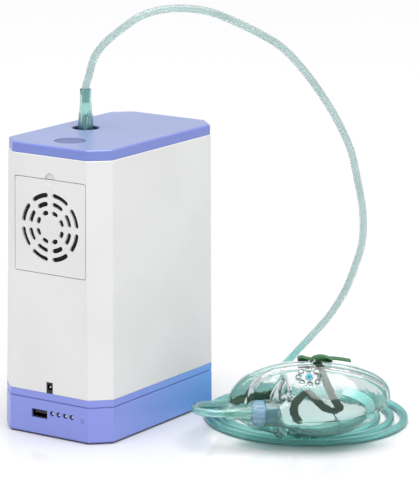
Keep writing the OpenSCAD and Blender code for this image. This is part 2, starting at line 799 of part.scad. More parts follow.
module compressor_bed() {
    color(steel) block([-mount_x - 8, comp_y - 18, bed_z], [mount_x + 8, comp_y + 56, bed_z + bed_t]);
}

module crankcase() {
    color("#8d9096") difference() {
        block([-case_half, comp_y - 13, bed_z + bed_t], [case_half, motor_y, crank_z + 17]);
        block([-case_half + 3, comp_y - 10, crank_z - 15], [case_half - 3, comp_y + 10, crank_z + 14]);
        bar_x(bore_d, comp_y, crank_z, -case_half - 1, case_half + 1, 96);
        bar_y(shaft_d + 0.1, 0, crank_z, comp_y - 14, motor_y + 1);
    }
}

module motor_can() {
    color("#55585e") {
        difference() {
            bar_y(motor_d, 0, crank_z, motor_y, motor_y + motor_l, 96);
            bar_y(motor_d - 6, 0, crank_z, motor_y + 3, motor_y + motor_l - 3, 96);
            bar_y(shaft_d + 0.1, 0, crank_z, motor_y - 1, motor_y + motor_l + 1);
        }
        difference() {
            block([-12, motor_y + 6, bed_z + bed_t], [12, motor_y + motor_l - 4, crank_z - 8]);
            bar_y(motor_d - 4, 0, crank_z, motor_y - 1, motor_y + motor_l + 1, 96);
        }
    }
}

module motor_rotor() {
    color("#a3743c") difference() {
        bar_y(motor_d - 8, 0, crank_z, motor_y + 6, motor_y + motor_l - 6, 96);
        bar_y(shaft_d, 0, crank_z, motor_y, motor_y + motor_l);
    }
}

// Shaft with two cams set opposite each other, one for each rod
module crankshaft() {
    color(steel) {
        bar_y(shaft_d, 0, crank_z, comp_y - 16, motor_y + motor_l + 1);
        bar_y(cam_d, crank_throw, crank_z, comp_y - cam_gap / 2 - cam_t, comp_y - cam_gap / 2);
        bar_y(cam_d, -crank_throw, crank_z, comp_y + cam_gap / 2, comp_y + cam_gap / 2 + cam_t);
    }
}

// Connecting rod, one piece with its rocking piston; s is the side it works on
module rod(s) {
    x0 = s * crank_throw;
    y0 = comp_y - s * (cam_gap + cam_t) / 2;
    crown = s * (sleeve_end - crown_gap);
    color("#c9ccd2") difference() {
        union() {
            bar_y(cam_d + 6, x0, crank_z, y0 - rod_t / 2, y0 + rod_t / 2);
            block([min(x0 + s * 6, crown - s), y0 - rod_t / 2, crank_z - 3.5],
                  [max(x0 + s * 6, crown - s), y0 + rod_t / 2, crank_z + 3.5]);
            bar_x(piston_d, comp_y, crank_z,
                  min(crown, crown - s * crown_t), max(crown, crown - s * crown_t), 96);
        }
        bar_y(cam_d + 0.1, x0, crank_z, y0 - cam_t, y0 + cam_t);
    }
}

module rod_right() rod(1);
module rod_left() rod(-1);

module cylinder_sleeves() {
    color("#b4b7bd") for (s = [-1, 1]) difference() {
        bar_x(bore_d + 5, comp_y, crank_z,
              s > 0 ? case_half : -sleeve_end, s > 0 ? sleeve_end : -case_half, 96);
        bar_x(bore_d, comp_y, crank_z, -case_w, case_w, 96);
    }
}

module cylinder_heads() {
    color("#8d9096") for (s = [-1, 1]) difference() {
        union() {
            block([s > 0 ? sleeve_end : -comp_half, comp_y - 15, crank_z - 16],
                  [s > 0 ? comp_half : -sleeve_end, comp_y + 15, crank_z + 16]);
            translate([s * (sleeve_end + head_t / 2), comp_y, crank_z + 15]) cylinder(d = 6, h = 7);
        }
        // Cooling fins
        for (k = [-2:2])
            block([s > 0 ? comp_half - 3 : -comp_half - 1, comp_y + k * 5.6 - 1.2, crank_z - 17],
                  [s > 0 ? comp_half + 1 : -comp_half + 3, comp_y + k * 5.6 + 1.2, crank_z + 17]);
    }
}

// ---- Sieve beds, valves, tank and filter ----

sieve_gap = 2;
sieve_x = (clear_half - sieve_gap / 2) / 2;
cap_rim = 0.8;
// The beds stand just clear of the rear screw posts
sieve_y = screw_y - sqrt(pow(sieve_d / 2 + 5.1, 2) - pow(screw_x - sieve_x, 2));
sieve_z0 = deck_z + 6;
sieve_z1 = body_top - 46;
cap_h = 8;
tank_d = 34;
tank_x = 17;
tank_y = -8;
tank_z0 = crank_z + motor_d / 2 + 12;
tank_z1 = body_top - 22;

module sieve_tubes() {
    color(steel) for (s = [-1, 1]) translate([s * sieve_x, sieve_y, sieve_z0 + cap_h]) difference() {
        cylinder(d = sieve_d, h = sieve_z1 - sieve_z0 - 2 * cap_h, $fn = 96);
        translate([0, 0, -1]) cylinder(d = sieve_d - 3, h = case_h, $fn = 96);
    }
}

module zeolite_beds() {
    color("#d9cfb8") for (s = [-1, 1]) translate([s * sieve_x, sieve_y, sieve_z0 + cap_h + 1])
        cylinder(d = sieve_d - 3.4, h = sieve_z1 - sieve_z0 - 2 * cap_h - 2);
}

module sieve_caps() {
    color("#3a3d44") for (s = [-1, 1]) translate([s * sieve_x, sieve_y, 0]) {
        difference() {
            translate([0, 0, sieve_z0]) cylinder(d = sieve_d + 2 * cap_rim, h = cap_h, $fn = 96);
            translate([0, 0, sieve_z0 - 1]) cylinder(d = 3, h = cap_h + 2);
        }
        difference() {
            translate([0, 0, sieve_z1 - cap_h]) cylinder(d = sieve_d + 2 * cap_rim, h = cap_h, $fn = 96);
            translate([0, 0, sieve_z1 - cap_h - 1]) cylinder(d = 3, h = cap_h + 2);
        }
        // Feet that stand on the chassis plate
        for (t = [-1, 1]) block([-sieve_d / 4, t * sieve_d / 3 - 2, deck_z],
                                [sieve_d / 4, t * sieve_d / 3 + 2, sieve_z0 + eps]);
    }
}

module valve_manifold() {
    color("#c7c9ce") difference() {
        block([-sieve_x - 12, sieve_y - 13, sieve_z1], [sieve_x + 12, sieve_y + 13, sieve_z1 + 14]);
        bar_x(4, sieve_y, sieve_z1 + 7, -case_w, case_w);
    }
}

module solenoid_valves() {
    color(black) for (k = [-1, 0, 1]) translate([k * sieve_x * 0.9, sieve_y, sieve_z1 + 14]) {
        cylinder(d = 14, h = 18);
        translate([0, 0, 18 - eps]) cylinder(d = 7, h = 3);
    }
}

module oxygen_tank() {
    color("#dfe1e4") translate([tank_x, tank_y, 0]) rotate_extrude($fn = 96)
        polygon([[0, tank_z0], [tank_d / 2 - 5, tank_z0], [tank_d / 2 - 1.5, tank_z0 + 2],
            [tank_d / 2, tank_z0 + 6], [tank_d / 2, tank_z1 - 6], [tank_d / 2 - 1.5, tank_z1 - 2],
            [tank_d / 2 - 5, tank_z1], [0, tank_z1]]);
}

// In-line bacteria filter hung from the outlet barb
module bacteria_filter() {
    color("#e8eef0") translate([outlet_x, outlet_y, barb_foot]) rotate_extrude($fn = 96)
        polygon([[3.1, 0], [5, 0], [5, -4], [12, -7], [12, -13], [5, -16], [3, -24], [1.5, -24],
            [1.5, -17], [9, -12.5], [9, -7.5], [1.5, -4], [1.5, -1], [3.1, -1]]);
}

// ---- Electronics and inner tubing ----

module control_board() {
    x = -(w_at(body_top) / 2 - wall - 4);
    color(board_green) {
        block([x, -50, 108], [x + 1.6, 24, body_top - 28]);
        block([x + 1.6 - eps, -44, 116], [x + 9, -28, 132]);
        block([x + 1.6 - eps, -20, 120], [x + 5, -4, 136]);
        block([x + 1.6 - eps, -40, 150], [x + 6, -16, 160]);
        for (k = [0:2]) translate([x + 1.6 - eps, 4, 118 + k * 12])
            rotate([0, 90, 0]) cylinder(d = 9, h = 8);
    }
}

tubing_d = 5;

module inner_tubing() {
    head_x = sleeve_end + head_t / 2;
    head_top = crank_z + 22;
    man_z = sieve_z1 + 7;
    tank_top = tank_z1;
    color("#cfd8dc") {
        // Compressed air from both heads to the manifold
        tube(spline([[head_x, comp_y, head_top], [head_x, comp_y + 2, head_top + 14],
            [head_x, comp_y + 40, head_top + 26], [sieve_x + 10, sieve_y - 26, man_z - 10],
            [sieve_x + 4, sieve_y - 18, man_z], [sieve_x + 4, sieve_y - 13, man_z]], 4), tubing_d);
        tube(spline([[-head_x, comp_y, head_top], [-head_x + 4, comp_y + 2, head_top + 14],
            [-head_x + 12, comp_y + 40, head_top + 26], [-sieve_x, sieve_y - 26, man_z - 10],
            [-sieve_x + 4, sieve_y - 18, man_z], [-sieve_x + 4, sieve_y - 13, man_z]], 4), tubing_d);
        // Oxygen from the manifold to the tank, and from the tank to the outlet
        tube(spline([[0, sieve_y - 13, man_z], [0, sieve_y - 18, man_z + 1], [8, tank_y + 16, tank_top + 12],
            [tank_x + 4, tank_y + 3, tank_top + 9], [tank_x + 4, tank_y, tank_top]], 4), tubing_d);
        tube(spline([[tank_x - 6, tank_y, tank_top], [tank_x - 6, tank_y, tank_top + 8],
            [-2, tank_y - 10, tank_top + 2], [outlet_x + 6, outlet_y - 16, barb_foot - 34],
            [outlet_x, outlet_y - 4, barb_foot - 36], [outlet_x, outlet_y, barb_foot - 30],
            [outlet_x, outlet_y, barb_foot - 24]], 4), tubing_d);
    }
}

// ---- Hose: from the outlet in a high loop to a flat floor coil, then up to the mask ----

coil_at = [138, 79];
coil_r_out = 86;
coil_r_in = 54;
hose_start = cuff_z + cuff_l - 11;

hose_route = [
    [-22, -3, 250], [-22, -3, 256], [-22, -3, 262], [-20, -1, 272], [-17, 2, 286], [-11, 8, 297], [-2, 16, 307],
    [9, 26, 317], [21, 37, 322], [34, 50, 323], [49, 64, 320], [64, 78, 312], [80, 93, 301], [93, 106, 289],
    [105, 119, 270], [114, 130, 251], [122, 140, 231], [130, 149, 206], [133, 156, 180], [135, 162, 154],
    [134, 164, 129], [128, 164, 108], [120, 162, 86], [109, 157, 65], [98, 152, 50], [87, 147, 36],
    [77, 139, 22], [69, 127, 11], [63, 115, 5], [60, 103, 3]];

tail_route = [
    [86, 105, 3], [81, 88, 4], [80, 65, 8], [84, 41, 13], [89, 16, 18], [93, -9, 24], [100, -30, 28],
    [111, -43, 30], [123, -44, 30.3], [134, -38, 30.3], [139, -34, 30.3]];

module hose_cuff() {
    color(green) translate([outlet_x, outlet_y, cuff_z]) rotate_extrude($fn = 48)
        polygon([[barb_d / 2, 0], [cuff_d / 2 + 0.4, 0], [cuff_d / 2 + 0.4, 2], [cuff_d / 2, 2.6],
            [cuff_d / 2 - 1.5, cuff_l - 1], [cuff_d / 2 - 2, cuff_l], [hose_d / 2, cuff_l],
            [hose_d / 2, cuff_l - 11], [barb_d / 2, 18]]);
}

module hose_tube() {
    color("#b5cfc8") tube(spline(hose_route, 2), hose_d, 10, [1, 0, 0]);
}

module hose_coil() {
    color("#66b3ac") translate([coil_at.x, coil_at.y, 0]) rotate_extrude($fn = 72)
        translate([coil_r_in, 0]) square([coil_r_out - coil_r_in, hose_d]);
}

module hose_tail() {
    color("#66b3ac") tube(spline(tail_route, 1), hose_d, 10);
}

// ---- Mask: X runs from chin to nose, Y from cheek to cheek, Z out of the face ----

mask_at = [175.6, 15.4, 35];
mask_roll = 106;
mask_turn = 38.2;
port_x = -24;
port_z = 17;
port_l = 12;
swivel_l = 10;
mask_cuff_l = 22;
swivel_bore = 15;

module in_mask_place() {
    translate(mask_at) rotate([mask_roll, 0, mask_turn]) children();
}

function signed_pow(v, p) = (v < 0 ? -1 : 1) * pow(abs(v), p);

// Rim of the mask at angle a, drawn in by t at the wall's inner side
function rim_point(a, t) =
    let (c = cos(a), s = sin(a), nose = max(0, c),
         y = (mask_w / 2 - t) * (1 - 0.1 * nose) * signed_pow(s, c > 0 ? 1.25 : 0.85))
    [(mask_l / 2 - t) * signed_pow(c, c > 0 ? 0.9 : 0.85), y, -9 * pow(y / (mask_w / 2), 2)];

function port_point(a, t) =
    [port_x, (port_d / 2 - t) * sin(a), port_z + (port_d / 2 - t) * cos(a)];

// Point of the mask's wall, from the rim (u = 0) to the port (u = 1)
function mask_point(a, u, t) =
    let (c = cos(a), s = sin(a), nose = max(0, c), chin = max(0, -c),
         p0 = rim_point(a, t), p3 = port_point(a, t),
         p1 = p0 + [4 * chin - 5 * nose, -3 * s, 14 * nose + 27 * abs(s) + 4.5 * chin - t],
         chin_x = t > 0 ? 4 : -16,
         chin_z = t > 0 ? -5.5 : -3,
         p2 = p3 + [48 * nose + chin_x * chin + 14 * abs(s), 6 * s,
                    16 * nose + 7 * abs(s) + chin_z * chin - 0.8 * t * (1 - chin)])
    pow(1 - u, 3) * p0 + 3 * u * pow(1 - u, 2) * p1 + 3 * u * u * (1 - u) * p2 + pow(u, 3) * p3;

mask_sides = 36;
mask_rows = 12;

// One closed wall: outer rings down to the port's end, then inner rings back to the rim
module mask_shell() {
    ring = function (u, t) [for (i = [0:mask_sides - 1]) mask_point(360 * i / mask_sides, u, t)];
    outer = [for (j = [0:mask_rows]) ring(j / mask_rows, 0)];
    inner = [for (j = [mask_rows:-1:0]) ring(j / mask_rows, mask_t)];
    tip = [for (t = [0, mask_t]) [for (p = ring(1, t)) p - [port_l, 0, 0]]];
    rings = concat(outer, tip, inner);
    n = mask_sides;
    m = len(rings);
    color(green, 0.5) in_mask_place() {
        polyhedron([for (r = rings) each r], [for (j = [0:m - 1], i = [0:n - 1])
            let (a = j * n + i, b = j * n + (i + 1) % n,
                 c = ((j + 1) % m) * n + i, d = ((j + 1) % m) * n + (i + 1) % n)
            each [[a, d, b], [a, c, d]]], convexity = 8);
        // Bearing ring inside the port, which the swivel turns in
        translate([port_x - port_l, 0, port_z]) rotate([0, 90, 0]) difference() {
            cylinder(d = port_d - mask_t, h = 8, $fn = 96);
            translate([0, 0, -1]) cylinder(d = swivel_bore, h = 10, $fn = 96);
        }
    }
}

module mask_swivel() {
    x0 = port_x - port_l;
    color("#8fb6d6") in_mask_place() translate([x0, 0, port_z]) rotate([0, -90, 0]) {
        rotate_extrude($fn = 96) polygon([[3.6, -9], [swivel_bore / 2 - swivel_gap, -9],
            [swivel_bore / 2 - swivel_gap, 0.3], [9, 0.3], [9.4, 1], [9.4, swivel_l - 2],
            [8.6, swivel_l], [3.6, swivel_l]]);
        // Grip ribs
        for (k = [0:17]) rotate([0, 0, k * 20]) translate([9.2, -0.5, 1.2]) cube([0.7, 1, swivel_l - 3.4]);
    }
}

module mask_cuff() {
    x0 = port_x - port_l - swivel_l;
    color(green) in_mask_place() translate([x0, 0, port_z]) rotate([0, -90, 0])
        rotate_extrude() polygon([[1.8, -6], [3.6, -6], [3.6, 0], [6.2, 0], [6.2, 4], [5.6, 5],
            [4.6, mask_cuff_l - 3], [4.2, mask_cuff_l - 2], [hose_d / 2, mask_cuff_l - 2],
            [hose_d / 2, mask_cuff_l - 12], [1.8, mask_cuff_l - 12]]);
}

// Round exhalation valves, one on each cheek
module cheek_valves() {
    color("#5fb0b8") in_mask_place() for (s = [-1, 1]) {
        p = mask_point(s * 90, 0.34, 0);
        translate(p) rotate([s * -62, 0, 0]) cylinder(d = 8, h = 1.6, center = true);
    }
}

module nose_clip() {
    color(steel) in_mask_place() band([for (k = [-4:4]) mask_point(k * 9, 0.3, -0.5)], 5, 0.8, [1, 0, -1]);
}

// Elastic head strap, knotted through the rim at both cheeks and lying behind the opening
strap_route = [
    [0, 31.4, -9], [-6, 33, -11], [-16, 30, -14], [-30, 22, -15], [-38, 10, -14], [-30, 0, -14],
    [-14, -2, -14], [0, -4, -14], [8, 4, -13], [16, 14, -13],
    [24, 0, -13], [28, -12, -14], [18, -16, -14], [6, -22, -14], [0, -28.6, -11.4], [-2, -30.4, -9]];

module mask_strap() {
    color(dark_green) in_mask_place() band(spline(strap_route, 2), 6, 1, [0, 0, 1]);
}

lid();
power_button();
button_spring();
switch_plunger();
button_board();
outlet_cup();
outlet_barb();
main_shell();
fan_door();
dust_filter();
fan_bracket();
fan_frame();
fan_rotor();
fan_screws();
dc_socket();
base_collar();
base_tray();
usb_socket();
usb_tongue();
level_lights();
check_button();
front_board();
rubber_feet();
case_screws();
battery_cells();
battery_cradle();
chassis_plate();
rubber_mounts();
compressor_bed();
crankcase();
motor_can();
motor_rotor();
crankshaft();
rod_left();
rod_right();
cylinder_sleeves();
cylinder_heads();
sieve_tubes();
sieve_caps();
zeolite_beds();
valve_manifold();
solenoid_valves();
oxygen_tank();
bacteria_filter();
control_board();
inner_tubing();
hose_cuff();
hose_tube();
hose_coil();
hose_tail();
mask_cuff();
mask_swivel();
mask_shell();
cheek_valves();
nose_clip();
mask_strap();
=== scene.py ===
"""Looks of a table-top oxygen concentrator with its oxygen hose and face mask, in metres."""

import math

import bmesh
import bpy
from mathutils import Euler, Matrix, Vector


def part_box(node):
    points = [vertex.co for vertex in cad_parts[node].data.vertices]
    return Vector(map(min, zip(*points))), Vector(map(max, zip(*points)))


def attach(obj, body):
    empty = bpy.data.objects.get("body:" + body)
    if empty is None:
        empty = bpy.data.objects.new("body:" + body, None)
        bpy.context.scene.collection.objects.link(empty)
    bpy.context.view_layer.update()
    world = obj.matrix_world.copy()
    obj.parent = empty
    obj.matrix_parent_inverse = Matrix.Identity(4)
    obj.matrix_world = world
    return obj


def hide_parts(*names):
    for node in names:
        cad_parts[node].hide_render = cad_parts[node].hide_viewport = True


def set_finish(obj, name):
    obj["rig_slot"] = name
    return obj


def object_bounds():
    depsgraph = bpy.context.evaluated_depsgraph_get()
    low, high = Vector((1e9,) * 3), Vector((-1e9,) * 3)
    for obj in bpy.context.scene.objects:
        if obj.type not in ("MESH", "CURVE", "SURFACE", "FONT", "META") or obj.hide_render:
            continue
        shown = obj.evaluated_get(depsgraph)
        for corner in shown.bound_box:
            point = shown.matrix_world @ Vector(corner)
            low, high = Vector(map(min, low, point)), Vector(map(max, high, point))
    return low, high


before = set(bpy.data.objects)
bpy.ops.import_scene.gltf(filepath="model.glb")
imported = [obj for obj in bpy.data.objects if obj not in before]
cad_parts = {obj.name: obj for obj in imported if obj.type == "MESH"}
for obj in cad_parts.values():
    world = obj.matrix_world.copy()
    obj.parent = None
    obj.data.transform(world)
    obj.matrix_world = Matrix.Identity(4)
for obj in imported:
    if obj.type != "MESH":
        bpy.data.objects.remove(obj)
cad_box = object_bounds()

# ---- View and studio ----
# The unit is seen from its front right corner, a little above the lid.
# It stands on a glossy white table in a bright white tent, with large
# soft boxes above and beside it.

view_azimuth, view_elevation, view_roll = 33.13, 12.44, 0.47
eye = Vector((1.3046, -1.8572, 0.6425))
lens = bpy.data.cameras.new("camera")
lens.sensor_width = 36
lens.lens = 220.5
lens.clip_start, lens.clip_end = 0.05, 60
camera = bpy.data.objects.new("camera", lens)
bpy.context.scene.collection.objects.link(camera)
camera.matrix_world = (Matrix.Translation(eye)
                       @ Matrix.Rotation(math.radians(view_azimuth), 4, "Z")
                       @ Matrix.Rotation(math.radians(90 - view_elevation), 4, "X")
                       @ Matrix.Rotation(math.radians(view_roll), 4, "Z"))
bpy.context.scene.camera = camera
bpy.context.scene.view_settings.view_transform = "Standard"


def paint(red, green, blue):
    """A colour given as seen on a screen, from 0 to 255, as linear light."""
    shares = [value / 255 for value in (red, green, blue)]
    return tuple(s / 12.92 if s <= 0.04045 else ((s + 0.055) / 1.055) ** 2.4 for s in shares) + (1.0,)


def soft_box(name, place, target, width, height, power):
    lamp = bpy.data.lights.new(name, "AREA")
    lamp.shape = "RECTANGLE"
    lamp.size, lamp.size_y = width, height
    lamp.energy = power
    box = bpy.data.objects.new(name, lamp)
    bpy.context.scene.collection.objects.link(box)
    box.location = place
    box.rotation_euler = (Vector(target) - Vector(place)).to_track_quat("-Z", "Y").to_euler()


middle = (cad_box[0] + cad_box[1]) / 2
soft_box("front_box", (-0.55, -2.0, 0.9), middle, 1.0, 1.4, 3)
soft_box("right_box", (2.1, -0.3, 0.6), middle, 1.0, 1.2, 5)
ceiling = bpy.data.lights.new("ceiling", "SUN")
ceiling.energy = 4.6
ceiling.angle = math.radians(60)
ceiling_light = bpy.data.objects.new("ceiling", ceiling)
bpy.context.scene.collection.objects.link(ceiling_light)
ceiling_light.rotation_euler = Vector((-0.10, 0.12, -1)).to_track_quat("-Z", "Y").to_euler()

tent = bpy.data.worlds.new("white_tent")
tent.use_nodes = True
tent.node_tree.nodes["Background"].inputs["Color"].default_value = (1, 1, 1, 1)
tent.node_tree.nodes["Background"].inputs["Strength"].default_value = 0.72
bpy.context.scene.world = tent


class Wire:
    """A shader socket that maths can be written with, as in 1 - grain * 0.2."""

    def __init__(self, socket):
        self.socket = socket

    def node(self, kind, settings, sockets, output=0):
        """Adds a node of that kind, sets it up, and returns one of its outputs."""
        made = self.socket.id_data.nodes.new(kind)
        for key, value in settings.items():
            setattr(made, key, value)
        for key, value in sockets.items():
            if isinstance(value, Wire):
                self.socket.id_data.links.new(value.socket, made.inputs[key])
            else:
                made.inputs[key].default_value = value
        return Wire(made.outputs[output])

    def maths(self, operation, first, second):
        return self.node("ShaderNodeMath", {"operation": operation}, {0: first, 1: second})

    def __add__(self, other):
        return self.maths("ADD", self, other)

    __radd__ = __add__

    def __sub__(self, other):
        return self.maths("SUBTRACT", self, other)

    def __rsub__(self, other):
        return self.maths("SUBTRACT", other, self)

    def __mul__(self, other):
        return self.maths("MULTIPLY", self, other)

    __rmul__ = __mul__

    def __truediv__(self, other):
        return self.maths("DIVIDE", self, other)

    def ease(self, low, high):
        """0 below low and 1 above high, with a smooth step between them."""
        return self.node("ShaderNodeMapRange", {"interpolation_type": "SMOOTHSTEP"},
                         {"Value": self, "From Min": low, "From Max": high})

    def between(self, first, second):
        """Colour that goes from first to second as this goes from 0 to 1."""
        return self.node("ShaderNodeMix", {"data_type": "RGBA"}, {0: self, 6: first, 7: second}, 2)

    def noise(self, size, detail=2):
        """Cloudy pattern on this place, with lumps of that size in metres."""
        return self.node("ShaderNodeTexNoise", {}, {"Vector": self, "Scale": 1 / size, "Detail": detail})

    def axis(self, name):
        return self.node("ShaderNodeSeparateXYZ", {}, {0: self}, "XYZ".index(name))

    def rim(self, low, high):
        """0 where the surface faces the eye and 1 where it turns away. It masks painted edge shade: colour darkened at
        the silhouettes, standing in for the dark edges that thick clear plastic shows in light.
        """
        weight = self.node("ShaderNodeLayerWeight", {}, {"Blend": 0.5}, "Facing")
        return weight.ease(low, high)

    def bump(self, height, depth):
        """Normal of a surface that this height pattern raises by depth metres."""
        return self.node("ShaderNodeBump", {}, {"Height": height, "Distance": depth})


def material(name, **plain):
    """A Principled material, its shader's sockets set, and the place on the surface."""
    made = bpy.data.materials.new(name)
    made.use_nodes = True
    shader = made.node_tree.nodes["Principled BSDF"]
    for key, value in plain.items():
        shader.inputs[key.replace("_", " ")].default_value = value
    coordinates = made.node_tree.nodes.new("ShaderNodeTexCoord")
    return made, shader, Wire(coordinates.outputs["Object"])


def feed(shader, **sockets):
    """Links wires into the shader's sockets."""
    for key, wire in sockets.items():
        shader.id_data.links.new(wire.socket, shader.inputs[key.replace("_", " ")])


def mesh_piece(name, points, faces, finish, sharp=35):
    """A mesh object with outward faces, smooth but for edges over sharp degrees."""
    mesh = bpy.data.meshes.new(name)
    mesh.from_pydata([tuple(p) for p in points], [], faces)
    tidy = bmesh.new()
    tidy.from_mesh(mesh)
    bmesh.ops.recalc_face_normals(tidy, faces=tidy.faces)
    tidy.to_mesh(mesh)
    tidy.free()
    mesh.shade_smooth()
    mesh.set_sharp_from_angle(angle=math.radians(sharp))
    piece = bpy.data.objects.new(name, mesh)
    bpy.context.scene.collection.objects.link(piece)
    mesh.materials.append(finish)
    return piece


table_reach = 12
table_finish, table_shader, table_place = material("white_table", Roughness=0.06, Specular_IOR_Level=0.3)
feed(table_shader, Base_Color=table_place.noise(1.5).between(paint(194, 194, 196), paint(196, 196, 197)))
table_corners = [(x * table_reach, y * table_reach, 0) for x, y in [(-1, -1), (1, -1), (1, 1), (-1, 1)]]
table = mesh_piece("table", table_corners, [(0, 1, 2, 3)], table_finish)

# ---- Oxygen hose ----
# Clear pale green soft PVC tube, 6 mm outside and 4 mm inside, 2 m long.
# It is pushed into the cuff on the outlet, rises in a wide arch, and lies on
# the table in three loose turns before it goes up to the mask. The turns
# spread wider to the right, where nothing holds them together.

hose_d, hose_bore = 0.006, 0.004
hose_route = [
    (-.022, -.003, .250), (-.022, -.003, .256), (-.022, -.003, .262), (-.020, -.001, .272), (-.017, .002, .286),
    (-.011, .008, .297), (-.002, .016, .307), (.009, .026, .317), (.021, .037, .322), (.034, .050, .323),
    (.049, .064, .320), (.064, .078, .312), (.080, .093, .301), (.093, .106, .289), (.105, .119, .270),
    (.114, .130, .251), (.122, .140, .231), (.130, .149, .206), (.133, .156, .180), (.135, .162, .154),
    (.134, .164, .129), (.128, .164, .108), (.120, .162, .086), (.109, .157, .065), (.098, .152, .050),
    (.087, .147, .036), (.077, .139, .022), (.069, .127, .011), (.063, .115, .005), (.060, .103, .003)]
tail_route = [
    (.0775, .086, .0038), (.080, .065, .008), (.084, .041, .013), (.089, .016, .018),
    (.093, -.009, .024), (.100, -.030, .028), (.111, -.043, .030), (.123, -.044, .0303), (.134, -.038, .0303),
    (.139, -.034, .0303)]
coil_centre = Vector((0.138, 0.079, hose_d / 2))
coil_start, coil_turn = 163.2, 1070
coil_r, coil_pitch = 0.082, 0.0086
coil_drift = Vector((-0.0020, -0.0013, 0))


def coil_point(turned):
    """Place on the coil after that many degrees from its start."""
    radius = coil_r - coil_pitch * turned / 360
    angle = math.radians(coil_start + turned)
    around = Vector((radius * math.cos(angle), radius * math.sin(angle), 0))
    return coil_centre + coil_drift * turned / 360 + around


coil_step = 15
coil_route = [coil_point(turned) for turned in range(coil_step, coil_turn, coil_step)]


def smooth_line(route, per):
    """Catmull-Rom curve through the route, with per steps between two points."""
    p = [Vector(point) for point in route]
    line = []
    for i in range(len(p) - 1):
        a, b, c, d = p[max(0, i - 1)], p[i], p[i + 1], p[min(len(p) - 1, i + 2)]
        for t in [k / per for k in range(per)]:
            line.append(0.5 * (2 * b + (c - a) * t + (2 * a - 5 * b + 4 * c - d) * t * t
                               + (3 * b - a - 3 * c + d) * t ** 3))
    return line + [p[-1]]


def carried_frames(line, side):
    """Heading, side and third direction at each point, carried without twist."""
    frames = []
    for i in range(len(line)):
        heading = (line[min(i + 1, len(line) - 1)] - line[max(i - 1, 0)]).normalized()
        side = (side - heading * side.dot(heading)).normalized()
        frames.append((heading, side, heading.cross(side)))
    return frames


def ring_faces(rings, around, closed=False):
    """Faces between rings of that many points; closed joins the last to the first."""
    faces = []
    for j in range(rings if closed else rings - 1):
        for i in range(around):
            a, b = j * around + i, j * around + (i + 1) % around
            c, d = (j + 1) % rings * around + i, (j + 1) % rings * around + (i + 1) % around
            faces.append((a, b, d, c))
    return faces


def hollow_tube(name, line, outer, inner, around, finish, side=Vector((1, 0, 0))):
    """Tube with a bore, along the line; both walls are joined at its two ends."""
    frames = carried_frames(line, side)
    order = list(range(len(line)))
    walk = [(i, outer) for i in order] + [(i, inner) for i in reversed(order)]
    points = []
    for i, radius in walk:
        heading, u, v = frames[i]
        for k in range(around):
            angle = math.tau * k / around
            points.append(line[i] + (u * math.cos(angle) + v * math.sin(angle)) * radius)
    return mesh_piece(name, points, ring_faces(len(walk), around, closed=True), finish)


hose_finish, hose_shader, hose_place = material("clear_green_hose", Roughness=0.1, IOR=1.36,
                                                Specular_IOR_Level=0.15, Transmission_Weight=0.85)
# Painted light: the hose is painted deeper teal where it lies low on the table and paler up in the arch; this height
# mask stands in for how the light falls on it.
painted_light_low = 1 - hose_place.axis("Z").ease(0.012, 0.06)
hose_tone = painted_light_low.between(paint(222, 236, 234), paint(186, 238, 235))
hose_cloud = hose_place.noise(0.03).ease(0.3, 0.7).between(hose_tone, painted_light_low.between(
    paint(214, 230, 228), paint(178, 232, 228)))
# Painted edge shade: the colour darkens where the tube turns away from the eye.
feed(hose_shader, Base_Color=hose_place.rim(0.4, 0.85).between(hose_cloud, painted_light_low.between(
    paint(72, 108, 108), paint(84, 170, 168))),
    Normal=hose_place.bump(hose_place.noise(0.004), 0.00003))

hose_line = smooth_line(hose_route + coil_route + tail_route, 3)
hose = hollow_tube("oxygen_hose", hose_line, hose_d / 2, hose_bore / 2, 16, hose_finish)
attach(hose, "root")
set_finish(hose, "hose_pvc")
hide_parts("hose_tube", "hose_coil", "hose_tail")

# ---- Battery base ----
# Two blue ABS mouldings: a tray that holds the battery, and a collar above it.
# They meet at a thin dark joint line that runs all the way round, and the
# corners are cut off at 45 degrees and softened.

base_low, base_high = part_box("base_tray")
collar_low, collar_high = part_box("base_collar")
body_low, body_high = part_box("main_shell")
case_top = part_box("lid")[1].z
body_top = body_high.z
base_top = body_low.z
lean_x, lean_y = 0.0024, 0.0012
corner_cut, edge_r = 0.014, 0.0018
wall = 0.0022


def half_sizes(height):
    """Half the casing's width and depth at that height; its sides lean in."""
    rise = (height - base_top) / case_top
    return body_high.x - lean_x * rise, body_high.y - lean_y * rise


def case_outline(height, inset, steps=6):
    """Casing outline: a rectangle with cut corners, each bend softened."""
    x, y = (half - inset for half in half_sizes(height))
    c = corner_cut - inset * (2 - math.sqrt(2))
    corners = [Vector(p + (height,)) for p in [
        (x, c - y), (x, y - c), (x - c, y), (c - x, y), (-x, y - c), (-x, c - y), (c - x, -y), (x - c, -y)]]
    reach = max(0.0005, edge_r - inset / 2) * math.tan(math.radians(22.5))
    ring = []
    for i, p in enumerate(corners):
        start = p + (corners[i - 1] - p).normalized() * reach
        end = p + (corners[(i + 1) % 8] - p).normalized() * reach
        for s in [k / steps for k in range(steps + 1)]:
            ring.append((1 - s) ** 2 * start + 2 * s * (1 - s) * p + s * s * end)
    return ring


def case_piece(name, levels, finish, closed=False):
    """Casing part lofted through (height, inset) levels; closed makes a ring of it."""
    rings = [case_outline(*level) for level in levels]
    around = len(rings[0])
    faces = ring_faces(len(rings), around, closed)
    if not closed:
        faces += [tuple(range(around))[::-1], tuple(range(around * (len(rings) - 1), around * len(rings)))]
    return mesh_piece(name, [p for ring in rings for p in ring], faces, finish)


def rounded(height, inset, radius, turn, steps=5):
    """Levels of a rounded edge: turn 1 rounds inwards going up, -1 going down."""
    levels = []
    for k in range(steps + 1):
        angle = math.pi / 2 * k / steps
        levels.append((height - turn * radius * (1 - math.sin(angle)), inset + radius * (1 - math.cos(angle))))
    return levels


